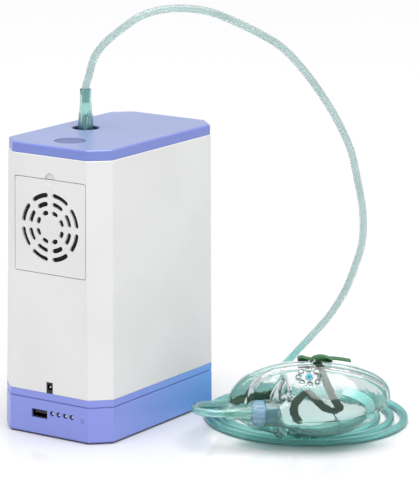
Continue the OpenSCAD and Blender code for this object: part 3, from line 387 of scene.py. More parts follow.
def cut(piece, *tools):
    """Cuts the tools out of the piece and throws them away."""
    for tool in tools:
        knife = piece.modifiers.new("cut", "BOOLEAN")
        knife.operation = "DIFFERENCE"
        knife.solver = "EXACT"
        knife.object = tool
    bpy.context.view_layer.update()
    shaped = bpy.data.meshes.new_from_object(piece.evaluated_get(bpy.context.evaluated_depsgraph_get()))
    piece.modifiers.clear()
    piece.data = shaped
    shaped.shade_smooth()
    shaped.set_sharp_from_angle(angle=math.radians(35))
    for tool in tools:
        bpy.data.objects.remove(tool)


def soften(piece, width, segments=2):
    """Rounds the piece's hard edges a little, as a moulding tool leaves them."""
    edge = piece.modifiers.new("soft_edge", "BEVEL")
    edge.width = width
    edge.segments = segments
    edge.limit_method = "ANGLE"
    edge.angle_limit = math.radians(40)
    edge.use_clamp_overlap = True
    flat = piece.modifiers.new("even_shading", "WEIGHTED_NORMAL")
    flat.keep_sharp = False


def dress(piece, body, slot, *nodes):
    """Says what the piece moves with, its slot, and the CAD nodes it stands for."""
    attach(piece, body)
    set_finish(piece, slot)
    if nodes:
        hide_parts(*nodes)
    return piece


def moulded(name, low, high, roughness, grain=0.0004, depth=0.00002, **plain):
    """Injection-moulded plastic: fine grain, faint cloudiness, uneven gloss."""
    made, shader, place = material(name, **plain)
    cloud = place.noise(0.06, 3)
    fine = place.noise(grain, 1)
    feed(shader, Base_Color=cloud.ease(0.35, 0.65).between(low, high),
         Roughness=roughness + cloud * 0.08 + fine * 0.05 - 0.06,
         Normal=place.bump(fine, depth))
    return made


blue_finish, blue_shader, blue_place = material("base_blue_abs", Coat_Weight=0.12, Coat_Roughness=0.25)
blue_cloud = blue_place.noise(0.08, 3)
# Painted reflection: the base is painted paler sky blue towards its back right, where the hose coil lies beside it,
# standing in for the hose's reflection.
painted_hose_reflection = (blue_place.axis("Y") + blue_place.axis("X") * 0.6).ease(-0.06, 0.12)
feed(blue_shader,
     Base_Color=painted_hose_reflection.between(paint(125, 136, 208), paint(104, 156, 225)),
     Roughness=0.30 + blue_cloud * 0.10,
     Normal=blue_place.bump(blue_place.noise(0.0004, 1), 0.00002))


def block(low, high, finish):
    """Plain block between two corners, for cutting with."""
    points = [(x, y, z) for x in (low[0], high[0]) for y in (low[1], high[1]) for z in (low[2], high[2])]
    faces = [(0, 1, 3, 2), (4, 6, 7, 5), (0, 4, 5, 1), (2, 3, 7, 6), (0, 2, 6, 4), (1, 5, 7, 3)]
    return mesh_piece("cutter", points, faces, finish)


def plug(radius, low, high):
    """Profile of a plain solid pin between two heights."""
    return [(0, low), (radius, low), (radius, high), (0, high)]


def turned(name, profile, at, direction, finish, around=64, sharp=35):
    """Solid of revolution: profile is (radius, height) pairs, turned about direction."""
    aim = Vector(direction).to_track_quat("Z", "Y").to_matrix()
    points, faces, rows = [], [], []
    for radius, height in profile:
        start = len(points)
        count = 1 if radius < 1e-7 else around
        for k in range(count):
            angle = math.tau * k / around
            points.append(Vector(at) + aim @ Vector((radius * math.cos(angle), radius * math.sin(angle), height)))
        rows.append((start, count))
    for (a, n), (b, m) in zip(rows, rows[1:]):
        for k in range(around):
            q = [a + k % n, a + (k + 1) % n, b + (k + 1) % m, b + k % m]
            faces.append(tuple(dict.fromkeys(q)))
    first, last = rows[0], rows[-1]
    if first[1] > 1 and profile[0] != profile[-1]:
        faces.append(tuple(range(first[0], first[0] + around))[::-1])
    if last[1] > 1 and profile[0] != profile[-1]:
        faces.append(tuple(range(last[0], last[0] + around)))
    if profile[0] == profile[-1] and first[1] > 1:
        faces = [tuple(i if i < last[0] else i - last[0] + first[0] for i in f) for f in faces]
        points = points[:last[0]]
    return mesh_piece(name, points, [f for f in faces if len(f) > 2], finish, sharp)


tray_floor = base_low.z + wall
tray_top = base_high.z
tray = case_piece("base_tray_moulding",
                  [(tray_floor, wall), (tray_top, wall)] + [(tray_top, 0.0003), (tray_top - 0.0004, 0)]
                  + rounded(base_low.z, 0, 0.0016, -1), blue_finish)
usb_low, usb_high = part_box("usb_socket")
lights_low, lights_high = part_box("level_lights")
check_low, check_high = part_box("check_button")
front = base_low.y
light_r = (lights_high.z - lights_low.z) / 2 + 0.00015
light_z = (lights_high.z + lights_low.z) / 2
light_pitch = (lights_high.x - lights_low.x - 2 * light_r + 0.0003) / 3
light_places = [lights_low.x - 0.00015 + light_r + k * light_pitch for k in range(4)]
check_at = (check_low + check_high) / 2
usb_edge = 0.0006
usb_cut = block((usb_low.x - usb_edge, front - 0.002, usb_low.z - usb_edge),
                (usb_high.x + usb_edge, front + wall + 0.002, usb_high.z + usb_edge), blue_finish)
hole_depth = wall + 0.004


def front_hole(x, z, radius):
    return turned("cutter", plug(radius, 0, hole_depth), (x, front - 0.002, z), (0, 1, 0), blue_finish, 40)


foot_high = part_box("rubber_feet")[1]
foot_r, foot_pocket = 0.0061, 0.0019
foot_x, foot_y = foot_high.x - foot_r + 0.0001, foot_high.y - foot_r + 0.0001
foot_cuts = [turned("cutter", plug(foot_r, 0, foot_pocket), (s * foot_x, t * foot_y, 0), (0, 0, 1), blue_finish, 40)
             for s in (-1, 1) for t in (-1, 1)]
vent_x, vent_half, vent_pitch = 0.03, 0.0015, 0.009
vent_cuts = [block((-vent_x, k * vent_pitch - vent_half, 0),
                   (vent_x, k * vent_pitch + vent_half, tray_floor + 0.001), blue_finish) for k in range(-4, 5)]
cut(tray, usb_cut, front_hole(check_at.x, check_at.z, 0.00165), *foot_cuts, *vent_cuts,
    *[front_hole(x, light_z, light_r) for x in light_places])
soften(tray, 0.00025)
dress(tray, "root", "base_blue", "base_tray")

joint_h = 0.0009
collar = case_piece("base_collar_moulding", [
    (collar_low.z, wall + 0.001), (collar_low.z, 0.0009), (collar_low.z + joint_h, 0.0009),
    (collar_low.z + joint_h, 0.0003), (collar_low.z + joint_h + 0.0003, 0), (base_top, 0),
    (base_top, wall + 0.0002), (collar_high.z, wall + 0.0002), (collar_high.z, wall + 0.001)],
    blue_finish, closed=True)
jack_low, jack_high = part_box("dc_socket")
cut(collar, block((jack_low.x - 0.003, front - 0.002, base_top + 0.00001),
                  (jack_high.x + 0.003, jack_high.y, collar_high.z + 0.002), blue_finish))
soften(collar, 0.0002)
dress(collar, "root", "base_blue", "base_collar")

# ---- White body ----
# One tall white ABS moulding, open below and above, with a fine satin grain.
# The fan door's opening, a thumb notch and the power socket's notch are
# cut in its front.

white_finish = moulded("white_abs", paint(208, 208, 208), paint(212, 212, 212), 0.36,
                       Coat_Weight=0.08, Coat_Roughness=0.3)
door_low, door_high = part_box("fan_door")
door_gap = 0.0005
pin_reach = 0.0022 + door_gap
door_x = (door_low.x + door_high.x) / 2
door_half = (door_high.x - door_low.x) / 2 - pin_reach
door_corner, opening_corner = 0.0016, 0.0011


def front_y(height):
    return -half_sizes(height)[1]


def door_outline(grow, corner=door_corner, steps=6):
    """Rounded rectangle of the fan door as (x, z), grown by the gap."""
    ring = []
    r = corner + grow
    for sx, sz, turn in [(1, 1, 0), (-1, 1, 90), (-1, -1, 180), (1, -1, 270)]:
        cx = door_x + sx * (door_half - corner)
        cz = (door_high.z if sz > 0 else door_low.z) - sz * corner
        for k in range(steps + 1):
            angle = math.radians(turn + 90 * k / steps)
            ring.append((cx + r * math.cos(angle), cz + r * math.sin(angle)))
    return ring


def front_plate(name, outline, near, far, finish):
    """Plate with that outline, between two depths behind the leaning front."""
    around = len(outline)
    points = [(x, front_y(z) + depth, z) for depth in (near, far) for x, z in outline]
    faces = ring_faces(2, around) + [tuple(range(around)), tuple(range(around, 2 * around))[::-1]]
    return mesh_piece(name, points, faces, finish)


shell = case_piece("white_body", [(base_top, wall), (base_top, 0.0003), (base_top + 0.0003, 0),
                                  (body_top - 0.0004, 0), (body_top, 0.0004), (body_top, wall)],
                   white_finish, closed=True)
notch_r = 0.00475
notch_z = door_high.z + door_gap


def notch_cutter(depth):
    """Round cutter of the thumb notch, from 2 mm in front of the wall."""
    return turned("cutter", plug(notch_r, 0, depth), (door_x, front_y(notch_z) - 0.002, notch_z), (0, 1, 0),
                  white_finish, 48)


notch = notch_cutter(0.0032)
opening = front_plate("cutter", door_outline(door_gap, opening_corner), -0.003, wall + 0.003, white_finish)
jack_cut = block((jack_low.x - 0.0001, front - 0.002, base_top - 0.002),
                 (jack_high.x + 0.0001, front + 0.006, jack_high.z + 0.0001), white_finish)
cut(shell, opening, notch, jack_cut)
soften(shell, 0.0003)
dress(shell, "root", "body_white", "main_shell")

# ---- Fan door ----
# A thin white cover that clips into the front and swings down on two pins.
# Three rings of curved slots let the cooling air in through a foam filter.

fan_hole = 0.054
slot_w, ring_pitch, web_w = 0.0036, 0.0068, 0.004
fan_low, fan_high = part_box("fan_frame")
fan_z = (fan_low.z + fan_high.z) / 2
door = front_plate("fan_door_cover", door_outline(0), 0, 0.002, white_finish)


def slot_outline(r, start, end, steps=10, caps=6):
    """Curved slot with round ends along an arc, as (x, z) about the fan's axis."""
    def on(radius, angle):
        return Vector((radius * math.cos(angle), radius * math.sin(angle)))

    def cap(angle, turn):
        return [on(r, angle) + on(slot_w / 2, angle + turn + math.pi * i / caps) for i in range(1, caps)]

    sweep = [start + (end - start) * i / steps for i in range(steps + 1)]
    return ([on(r + slot_w / 2, a) for a in sweep] + cap(end, 0)
            + [on(r - slot_w / 2, a) for a in reversed(sweep)] + cap(start, math.pi))


slots = []
for ring in range(3):
    r = fan_hole / 2 - slot_w / 2 - ring * ring_pitch
    web = math.asin((web_w - 0.0009 * (ring == 2) + slot_w) / 2 / r)
    for k in range(8):
        start = math.radians(45 * k)
        outline = [(door_x + p.x, fan_z + p.y) for p in slot_outline(r, start + web, start + math.pi / 4 - web)]
        slots.append(front_plate("cutter", outline, -0.002, 0.004, white_finish))
cut(door, *slots, notch_cutter(0.0026))
soften(door, 0.00025)
dress(door, "fan_door", "body_white", "fan_door")
pin_z, pin_r, pin_depth = door_low.z + 0.0011, 0.0006, 0.001
pin_profile = [(0, 0), (pin_r, 0), (pin_r, pin_reach + 0.0006), (pin_r - 0.0002, pin_reach + 0.0009),
               (0, pin_reach + 0.0009)]
for side in (-1, 1):
    pin = turned(f"door_pin_{'right' if side > 0 else 'left'}", pin_profile,
                 (door_x + side * (door_half - 0.001), front_y(pin_z) + pin_depth, pin_z), (side, 0, 0),
                 white_finish, 24)
    dress(pin, "fan_door", "body_white")

# ---- Lid ----
# One blue ABS moulding with a rounded top edge. It drops into the white
# body, and carries the power button and the oxygen outlet. Its top is
# painted a little greyer than its sides: painted sheen from the light above.

lid_finish, lid_shader, lid_place = material("lid_blue_abs", Coat_Weight=0.15, Coat_Roughness=0.2)
lid_cloud = lid_place.noise(0.06, 3)
lid_grain = lid_place.noise(0.0004, 1)
# Painted sheen: the top face is painted greyer than the sides, where it faces the light from above.
painted_sheen_top = lid_place.axis("Z").ease(0.2290, 0.2299)
feed(lid_shader, Base_Color=lid_cloud.ease(0.35, 0.65).between(
    painted_sheen_top.between(paint(107, 121, 190), paint(110, 121, 160)),
    painted_sheen_top.between(paint(111, 125, 194), paint(114, 125, 164))),
    Roughness=0.28 + lid_cloud * 0.08 + lid_grain * 0.05, Normal=lid_place.bump(lid_grain, 0.00002))
lid_step, lid_round, lid_t = 0.0005, 0.0018, 0.0024
button_low, button_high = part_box("power_button")
cup_low, cup_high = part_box("outlet_cup")
button_at = (button_low + button_high) / 2
cup_at = (cup_low + cup_high) / 2
button_r, button_gap = 0.01175, 0.0003
cup_r, cup_t = 0.010, 0.001
lid_levels = [(case_top - lid_t, lid_step + wall), (body_top, lid_step + wall), (body_top, lid_step + 0.0004),
              (body_top + 0.0004, lid_step)]
lid = case_piece("lid_moulding", lid_levels + rounded(case_top, lid_step, lid_round, 1, 8), lid_finish)
lid_holes = [turned("cutter", plug(radius, 0, 0.01), (at.x, at.y, case_top - 0.005), (0, 0, 1), lid_finish, 96)
             for at, radius in [(button_at, button_r + button_gap), (cup_at, cup_r + cup_t)]]
cut(lid, *lid_holes)
soften(lid, 0.0003, 3)
dress(lid, "root", "lid_blue", "lid")
post_r, post_l, post_gap = 0.0025, 0.012, 0.0064
for side in (-1, 1):
    post = turned(f"board_post_{'right' if side > 0 else 'left'}", plug(post_r, 0, post_l),
                  (button_at.x + side * (button_r + post_gap), button_at.y, case_top - lid_t - post_l), (0, 0, 1),
                  lid_finish, 32)
    dress(post, "root", "lid_blue")

# ---- Power button ----
# A round grey-blue cap with a shallow dish, level with the lid.

button_finish = moulded("button_grey_blue", paint(78, 86, 127), paint(82, 90, 131), 0.45)
stem_low = button_low.z
cap_top = case_top - 0.0002
cap_low = case_top - lid_t - 0.0013
button = turned("power_button_cap", [
    (0, stem_low), (0.0025, stem_low), (0.0025, cap_low), (button_r + 0.0034, cap_low),
    (button_r + 0.0034, cap_low + 0.0012), (button_r, cap_low + 0.0012), (button_r, cap_top - 0.0005),
    (button_r - 0.00015, cap_top - 0.00015), (button_r - 0.0006, cap_top), (button_r - 0.003, cap_top - 0.0002),
    (button_r * 0.5, cap_top - 0.0004), (0, cap_top - 0.0005)],
    (button_at.x, button_at.y, 0), (0, 0, 1), button_finish, 96)
dress(button, "power_button", "button_blue", "power_button")

# ---- Oxygen outlet ----
# A deep round cup in the lid with a barbed metal spigot standing in it.
# The hose's tapered cuff, clear teal PVC, is pushed over the spigot.

cup_finish = moulded("cup_dark_blue", paint(44, 52, 96), paint(50, 58, 106), 0.35)
cup_floor = cup_low.z + 0.002
cup = turned("outlet_cup_liner", [
    (0.0031, cup_low.z), (cup_r + cup_t - 0.00005, cup_low.z), (cup_r + cup_t - 0.00005, case_top - 0.0008),
    (cup_r + cup_t - 0.0003, case_top - 0.0004), (cup_r + 0.0003, case_top - 0.0004), (cup_r, case_top - 0.0007),
    (cup_r, cup_floor + 0.001), (cup_r - 0.001, cup_floor), (0.0031, cup_floor), (0.0031, cup_low.z)],
    (cup_at.x, cup_at.y, 0), (0, 0, 1), cup_finish, 96)
dress(cup, "root", "cup_dark", "outlet_cup")

cuff_finish, cuff_shader, cuff_place = material("clear_teal_cuff", Roughness=0.08, IOR=1.42,
                                                Specular_IOR_Level=0.25, Transmission_Weight=0.94)
# Painted reflection: the clear teal cuff is painted bluer at its foot, standing in for the bluish reflections there.
cuff_painted_blue_foot = cuff_place.axis("Z").ease(0.236, 0.224) * cuff_place.axis("Z").ease(0.08, 0.16)
cuff_tone = cuff_painted_blue_foot.between(paint(204, 238, 231), paint(160, 220, 244))
cuff_cloud = cuff_place.noise(0.012).ease(0.4, 0.9).between(cuff_tone, paint(196, 234, 227))
# Painted edge shade: the colour darkens where the cuff turns away from the eye.
feed(cuff_shader, Base_Color=cuff_place.rim(0.35, 0.8).between(
    cuff_cloud, cuff_painted_blue_foot.between(paint(60, 146, 138), paint(96, 186, 218))),
     Normal=cuff_place.bump(cuff_place.noise(0.003), 0.00006))
cuff_low, cuff_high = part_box("hose_cuff")
cuff_l = cuff_high.z - cuff_low.z
cuff_r = 0.0059


def cuff_profile(length, foot, tip, bore):
    """Tapered sleeve with a bead at its foot and a rolled mouth at its tip."""
    return [(bore, 0), (foot + 0.0003, 0), (foot + 0.0005, 0.0006), (foot + 0.0005, 0.0016), (foot, 0.0024),
            (foot - 0.0002, length * 0.2), (tip + (foot - tip) * 0.5, length * 0.45), (tip + 0.0001, length * 0.75),
            (tip, length - 0.0022), (tip + 0.0003, length - 0.0012), (tip + 0.0001, length - 0.0002),
            (tip - 0.0004, length), (hose_d / 2 + 0.0004, length), (hose_d / 2, length - 0.0006),
            (hose_d / 2, length - 0.011), (bore, length - 0.013), (bore, 0)]


outlet_cuff = turned("outlet_cuff", cuff_profile(cuff_l, cuff_r, 0.0043, 0.0032),
                     (cup_at.x, cup_at.y, cuff_low.z), (0, 0, 1), cuff_finish, 48)
dress(outlet_cuff, "root", "cuff_green", "hose_cuff")


def rib_piece(name, ribs, around, finish, aim=Matrix.Identity(3)):
    """Thin closed bars; each rib is a list of (place, radius) rings square to aim."""
    points, faces = [], []
    for rings in ribs:
        start = len(points)
        for place, radius in rings:
            for i in range(around):
                turn = math.tau * i / around
                points.append(place + aim @ Vector((radius * math.cos(turn), radius * math.sin(turn), 0)))
        faces += [tuple(i + start for i in face) for face in ring_faces(len(rings), around)]
        faces += [tuple(range(start, start + around)), tuple(range(len(points) - around, len(points)))]
    return mesh_piece(name, points, faces, finish)


cuff_rib_count, rib_top_r = 10, 0.0051
cuff_ribs = []
for k in range(cuff_rib_count):
    angle = math.tau * k / cuff_rib_count
    outwards = Vector((math.cos(angle), math.sin(angle), 0))
    foot = Vector((cup_at.x, cup_at.y, cuff_low.z + 0.003)) + outwards * cuff_r
    head = Vector((cup_at.x, cup_at.y, cuff_low.z + cuff_l * 0.5)) + outwards * rib_top_r
    cuff_ribs.append([(foot, 0.0005), (foot.lerp(head, 0.5), 0.0006), (head, 0.0003)])
dress(rib_piece("outlet_cuff_ribs", cuff_ribs, 6, cuff_finish), "root", "cuff_green")

# ---- Sockets, lights and check button ----
# A USB socket, a round-pin power socket, four battery level lights and a
# small clear button that lights them, all in the front of the base.

lens_finish, lens_shader, lens_place = material("light_lens", Roughness=0.12, IOR=1.45,
                                                Transmission_Weight=0.35)
feed(lens_shader, Base_Color=lens_place.noise(0.002).between(paint(244, 247, 253), paint(232, 238, 250)))
# Painted shade: each lens sits off centre to the right in a wide black rim, so that a black crescent on its left
# stands in for the shadow inside the hole.
rim_and_shade_finish = moulded("light_rim_black_painted_shade", paint(16, 17, 20), paint(21, 22, 26), 0.5)
lens_r = light_r - 0.00015
for k, x in enumerate(light_places):
    back = lights_high.y - lights_low.y
    dome = turned(f"level_light_{k + 1}", [(0, back), (lens_r * 0.62, back), (lens_r * 0.62, 0.0006),
                                           (lens_r * 0.54, 0.0002), (lens_r * 0.3, -0.0002), (0, -0.0003)],
                  (x + lens_r * 0.3, lights_low.y, light_z), (0, 1, 0), lens_finish, 40)
    dress(dome, "root", "light_lens", "level_lights")
    rim = turned(f"level_light_rim_{k + 1}", plug(lens_r, 0.0004, 0.0044), (x, lights_low.y, light_z), (0, 1, 0),
                 rim_and_shade_finish, 40)
    cut(rim, turned("cutter", plug(lens_r * 0.64, -0.001, 0.006), (x + lens_r * 0.3, lights_low.y, light_z),
                    (0, 1, 0), rim_and_shade_finish, 40))
    dress(rim, "root", "black_plastic")
check_finish, check_shader, check_place = material("clear_blue_button", Roughness=0.15, IOR=1.45,
                                                   Transmission_Weight=0.3)
feed(check_shader, Base_Color=check_place.noise(0.002).between(paint(150, 172, 236), paint(136, 160, 230)))
check_r = 0.0013
check_depth = check_high.y - check_low.y
check = turned("check_button_cap", [
    (0, 0), (check_r * 0.6, 0.00008), (check_r * 0.92, 0.0003), (check_r, 0.0006),
    (check_r, check_depth - 0.0024), (check_r + 0.001, check_depth - 0.0024),
    (check_r + 0.001, check_depth - 0.0012), (check_r, check_depth - 0.0012), (check_r, check_depth),
    (0, check_depth)], (check_at.x, check_low.y, check_at.z), (0, 1, 0), check_finish, 40)
dress(check, "check_button", "check_blue", "check_button")
gold_finish, gold_shader, gold_place = material("gold_contact", Metallic=1)
feed(gold_shader, Base_Color=gold_place.noise(0.001).between(paint(226, 190, 110), paint(212, 172, 92)),
     Roughness=0.25 + gold_place.noise(0.0006) * 0.2)
tongue_low, tongue_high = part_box("usb_tongue")


def merged(name, parts, finish, sharp=35):
    """One mesh of all the parts' faces; the parts themselves are thrown away."""
    points, faces = [], []
    for part in parts:
        faces += [tuple(i + len(points) for i in face.vertices) for face in part.data.polygons]
        points += [corner.co.copy() for corner in part.data.vertices]
        bpy.data.objects.remove(part)
    return mesh_piece(name, points, faces, finish, sharp)


contacts = []
for k in range(4):
    x = tongue_low.x + (tongue_high.x - tongue_low.x) * (0.14 + 0.24 * k)
    contacts.append(block((x - 0.0005, tongue_low.y + 0.0005, tongue_low.z - 0.0002),
                          (x + 0.0005, tongue_low.y + 0.008, tongue_low.z + 0.0002), gold_finish))
dress(merged("usb_contacts", contacts, gold_finish), "root", "steel")
pin_finish, pin_shader, pin_place = material("nickel_pin", Metallic=1)
feed(pin_shader, Base_Color=pin_place.noise(0.001).between(paint(224, 226, 230), paint(204, 207, 212)),
     Roughness=0.2 + pin_place.noise(0.0006) * 0.2)
jack_pin = turned("jack_pin", [(0, 0.0006), (0.0006, 0.0006), (0.0009, 0.0010), (0.0009, 0.0099), (0, 0.0099)],
                  ((jack_low.x + jack_high.x) / 2, jack_low.y, (jack_low.z + jack_high.z) / 2 + 0.0006),
                  (0, 1, 0), pin_finish, 24)
dress(jack_pin, "root", "steel")

# ---- Mask ----
# One soft, clear, pale green PVC moulding, laid on its side, where it sags
# a little out of true. It has a wide turned rim, a pleat on each cheek, and
# a round port at the chin that turns on a ribbed swivel.

mask_at = Vector((0.1756, 0.0154, 0.035))
mask_place = Matrix.Translation(mask_at) @ Euler((math.radians(106), 0, math.radians(38.2))).to_matrix().to_4x4()
mask_l, mask_w, mask_t = 0.124, 0.060, 0.0014
port_r, port_x, port_z, port_l = 0.0105, -0.024, 0.017, 0.012
swivel_l, mask_cuff_l, swivel_r = 0.010, 0.022, 0.0074


def signed_power(value, power):
    return math.copysign(abs(value) ** power, value)


def mask_point(angle, u, t):
    """Place on the mask's wall, from the rim (u 0) to the port (u 1), t inside it."""
    c, s = math.cos(angle), math.sin(angle)
    nose, chin = max(0, c), max(0, -c)
    half = mask_w / 2
    fullness = 0.85 if c < 0 else 0.62 if s > 0 else 2.1
    y = (half - t) * (1 - 0.1 * nose) * signed_power(s, fullness)
    rim = Vector(((mask_l / 2 - t) * signed_power(c, 0.9 if c > 0 else 0.85), y, -0.009 * (y / half) ** 2))
    port = Vector((port_x, (port_r - t) * s, port_z + (port_r - t) * c))
    mm = 0.001
    chin_x, chin_z = (4, -5.5) if t > 0 else (-16, -3)
    out = rim + Vector((4 * chin - 5 * nose, -3 * s, 14 * nose + 27 * abs(s) + 4.5 * chin)) * mm
    out.z -= t
    back = port + Vector((48 * nose + chin_x * chin + 14 * abs(s), 6 * s,
                          16 * nose + 7 * abs(s) + chin_z * chin)) * mm
    back.z -= 0.8 * t * (1 - chin)
    return ((1 - u) ** 3 * rim + 3 * u * (1 - u) ** 2 * out + 3 * u * u * (1 - u) * back + u ** 3 * port)


def mask_normal(angle, u):
    """Outward direction of the mask's wall."""
    step = 0.01
    along = mask_point(angle, min(1, u + step), 0) - mask_point(angle, max(0, u - step), 0)
    around = mask_point(angle + step, u, 0) - mask_point(angle - step, u, 0)
    out = along.cross(around)
    if out.length < 1e-12:
        return Vector((-1, 0, 0))
    out.normalize()
    place = mask_point(angle, u, 0)
    return out if out.dot(place - Vector((place.x * 0.8, 0, -0.002))) > 0 else -out


def ridge(value, centre, width):
    return math.exp(-((value - centre) / width) ** 2)


def smooth_step(value):
    value = min(1, max(0, value))
    return value * value * (3 - 2 * value)


def mask_relief(angle, u):
    """Height of the moulded detail: rim bead, crease inside the flange, and cheek pleats."""
    chin = max(0, -math.cos(angle))
    bead = 0.0008 * ridge(u, 0, 0.03)
    crease = 0.0012 * ridge(u, 0.10 + 0.36 * chin ** 4, 0.02)
    turn = abs(math.degrees(angle))
    chin_side = 108 + 90 * max(0, u - 0.1) ** 2
    nose_side = 108 - 90 * max(0, u - 0.65)
    pleat = (smooth_step((turn - nose_side + 2) / 4) * smooth_step((chin_side - turn + 2) / 4)
             * smooth_step((u - 0.08) / 0.2) * smooth_step((1 - u) / 0.2))
    return bead + crease + 0.0032 * pleat


mask_sides, mask_rows = 180, 50


def mask_ring(u, t, moved=0):
    ring = []
    for i in range(mask_sides):
        angle = math.tau * i / mask_sides
        angle = angle - math.tau if angle > math.pi else angle
        fade = 1 if u < 0.9 else max(0, (1 - u) / 0.1)
        p = mask_point(angle, u, t) + mask_normal(angle, u) * mask_relief(angle, u) * fade
        ring.append(p - Vector((moved, 0, 0)))
    return ring


mask_finish, mask_shader, mask_where = material("clear_green_mask", Roughness=0.05, IOR=1.38,
                                                 Specular_IOR_Level=0.25, Transmission_Weight=0.98)
# Painted reflection: the wall is painted grey towards its top, standing in for the surroundings it reflects; lower
# down it keeps the mask's own pale teal tint.
mask_tint_and_painted_reflection = mask_where.axis("Z").ease(0.055, 0.008).between(paint(216, 219, 218), paint(160, 216, 209))
mask_cloud = mask_where.noise(0.02).ease(0.4, 0.9).between(mask_tint_and_painted_reflection, paint(196, 219, 216))
# Painted edge shade: the colour darkens to deep teal where the wall turns away from the eye.
feed(mask_shader, Base_Color=mask_where.rim(0.55, 0.92).between(mask_cloud, paint(66, 124, 122)),
     Normal=mask_where.bump(mask_where.noise(0.012, 3), 0.0005))
rows = [k / mask_rows for k in range(mask_rows + 1)]
mask_rings = ([mask_ring(u, 0) for u in rows] + [mask_ring(1, 0, port_l), mask_ring(1, mask_t, port_l)]
              + [mask_ring(u, mask_t) for u in reversed(rows)])
mask = mesh_piece("mask_shell_clear", [mask_place @ p for ring in mask_rings for p in ring],
                  ring_faces(len(mask_rings), mask_sides, closed=True), mask_finish, 60)
dress(mask, "mask", "mask_pvc", "mask_shell")

along_port = (mask_place.to_3x3() @ Vector((-1, 0, 0))).normalized()


def on_port(distance):
    """Place on the port's axis, that far from the mask's side of it."""
    return mask_place @ Vector((port_x - distance, 0, port_z))


swivel_finish, swivel_shader, swivel_where = material("clear_blue_swivel", Roughness=0.1, IOR=1.42,
                                                      Transmission_Weight=0.7)
swivel_cloud = swivel_where.noise(0.01).ease(0.3, 0.7).between(paint(182, 216, 236), paint(168, 208, 228))
# Painted edge shade: the colour darkens where the swivel turns away from the eye.
feed(swivel_shader, Base_Color=swivel_where.rim(0.4, 0.9).between(swivel_cloud, paint(104, 150, 190)),
     Normal=swivel_where.bump(swivel_where.noise(0.003), 0.00006))
swivel = turned("swivel_connector", [
    (0.0036, -0.009), (swivel_r, -0.009), (swivel_r, 0.0003), (0.009, 0.0003), (0.0094, 0.0007),
    (0.0094, swivel_l - 0.002), (0.0091, swivel_l - 0.0008), (0.0084, swivel_l), (0.0036, swivel_l),
    (0.0036, -0.009)],
    on_port(port_l), along_port, swivel_finish, 72)
dress(swivel, "root", "swivel_blue", "mask_swivel")
aim = along_port.to_track_quat("Z", "Y").to_matrix()
swivel_rib_count, rib_ring_r = 18, 0.0093
rib_levels = [(0.0008, 0.0003), (0.0016, 0.0007), (swivel_l - 0.003, 0.0007), (swivel_l - 0.002, 0.0003)]
swivel_ribs = []
for k in range(swivel_rib_count):
    angle = math.tau * k / swivel_rib_count
    x, y = rib_ring_r * math.cos(angle), rib_ring_r * math.sin(angle)
    swivel_ribs.append([(on_port(port_l) + aim @ Vector((x, y, height)), radius) for height, radius in rib_levels])
dress(rib_piece("swivel_ribs", swivel_ribs, 8, swivel_finish, aim), "root", "swivel_blue")
mask_cuff = turned("mask_cuff_sleeve", [
    (0.0018, -0.006), (0.0036, -0.006), (0.0036, 0), (0.0062, 0), (0.0066, 0.0008), (0.0066, 0.003),
    (0.0060, 0.0045), (0.0056, 0.008), (0.0050, 0.013), (0.0046, mask_cuff_l - 0.005), (0.0048, mask_cuff_l - 0.0035),
    (0.0045, mask_cuff_l - 0.002), (hose_d / 2, mask_cuff_l - 0.002), (hose_d / 2, mask_cuff_l - 0.012),
    (0.0018, mask_cuff_l - 0.012), (0.0018, -0.006)],
    on_port(port_l + swivel_l), along_port, cuff_finish, 48)
dress(mask_cuff, "root", "cuff_green", "mask_cuff")

# ---- Cheek vents ----
# A teal silicone disc on a centre stud covers a ring of small holes on each
# cheek, so that breath leaves and no air comes back.

vent_finish, vent_shader, vent_where = material("teal_silicone", Roughness=0.25, Transmission_Weight=0.25)
feed(vent_shader, Base_Color=vent_where.noise(0.003).between(paint(70, 160, 176), paint(54, 144, 164)))
vent_u, vent_count, vent_spread = 0.27, 8, 0.0076
eyelet_profile = [(0.0014, 0.0006), (0.0019, 0.0010), (0.0024, 0.0006), (0.0024, -0.0006), (0.0014, -0.0006),
                  (0.0014, 0.0006)]
for side in (-1, 1):
    name = "upper" if side > 0 else "lower"
    seat = mask_point(side * math.pi / 2, vent_u, 0)
    out = mask_normal(side * math.pi / 2, vent_u)
    at = mask_place @ (seat + out * 0.0002)
    facing = mask_place.to_3x3() @ out
    disc = turned(f"cheek_valve_{name}", [
        (0, -0.0004), (0.0028, -0.0004), (0.0032, 0), (0.0030, 0.0006), (0.0018, 0.0008), (0.0014, 0.0016),
        (0.0007, 0.0020), (0, 0.0021)], at, facing, vent_finish, 40)
    dress(disc, "mask", "valve_teal", "cheek_valves")
    across = facing.cross(Vector((0, 0, 1))).normalized()
    upright = facing.cross(across)
    eyelets = []
    for k in range(vent_count):
        angle = math.tau * k / vent_count
        spot = at + (across * math.cos(angle) * 1.1 + upright * math.sin(angle) * 0.9) * vent_spread
        eyelets.append(turned("eyelet", eyelet_profile, spot, facing, mask_finish, 20))
    dress(merged(f"vent_eyelets_{name}", eyelets, mask_finish, 60), "mask", "mask_pvc")

# ---- Nose clip ----
# A thin strip of soft metal in a teal sleeve, bent over the nose ridge, so
# that the wearer can pinch the mask to shape.

clip_finish, clip_shader, clip_where = material("nose_strip", Transmission_Weight=0.3, Coat_Weight=0.4)
# Painted edge shade: the colour darkens where the strip turns away from the eye.
feed(clip_shader, Base_Color=clip_where.rim(0.4, 0.9).between(clip_where.noise(0.004).between(
    paint(150, 212, 206), paint(128, 198, 192)), paint(70, 132, 128)),
    Roughness=0.18 + clip_where.noise(0.002) * 0.15)


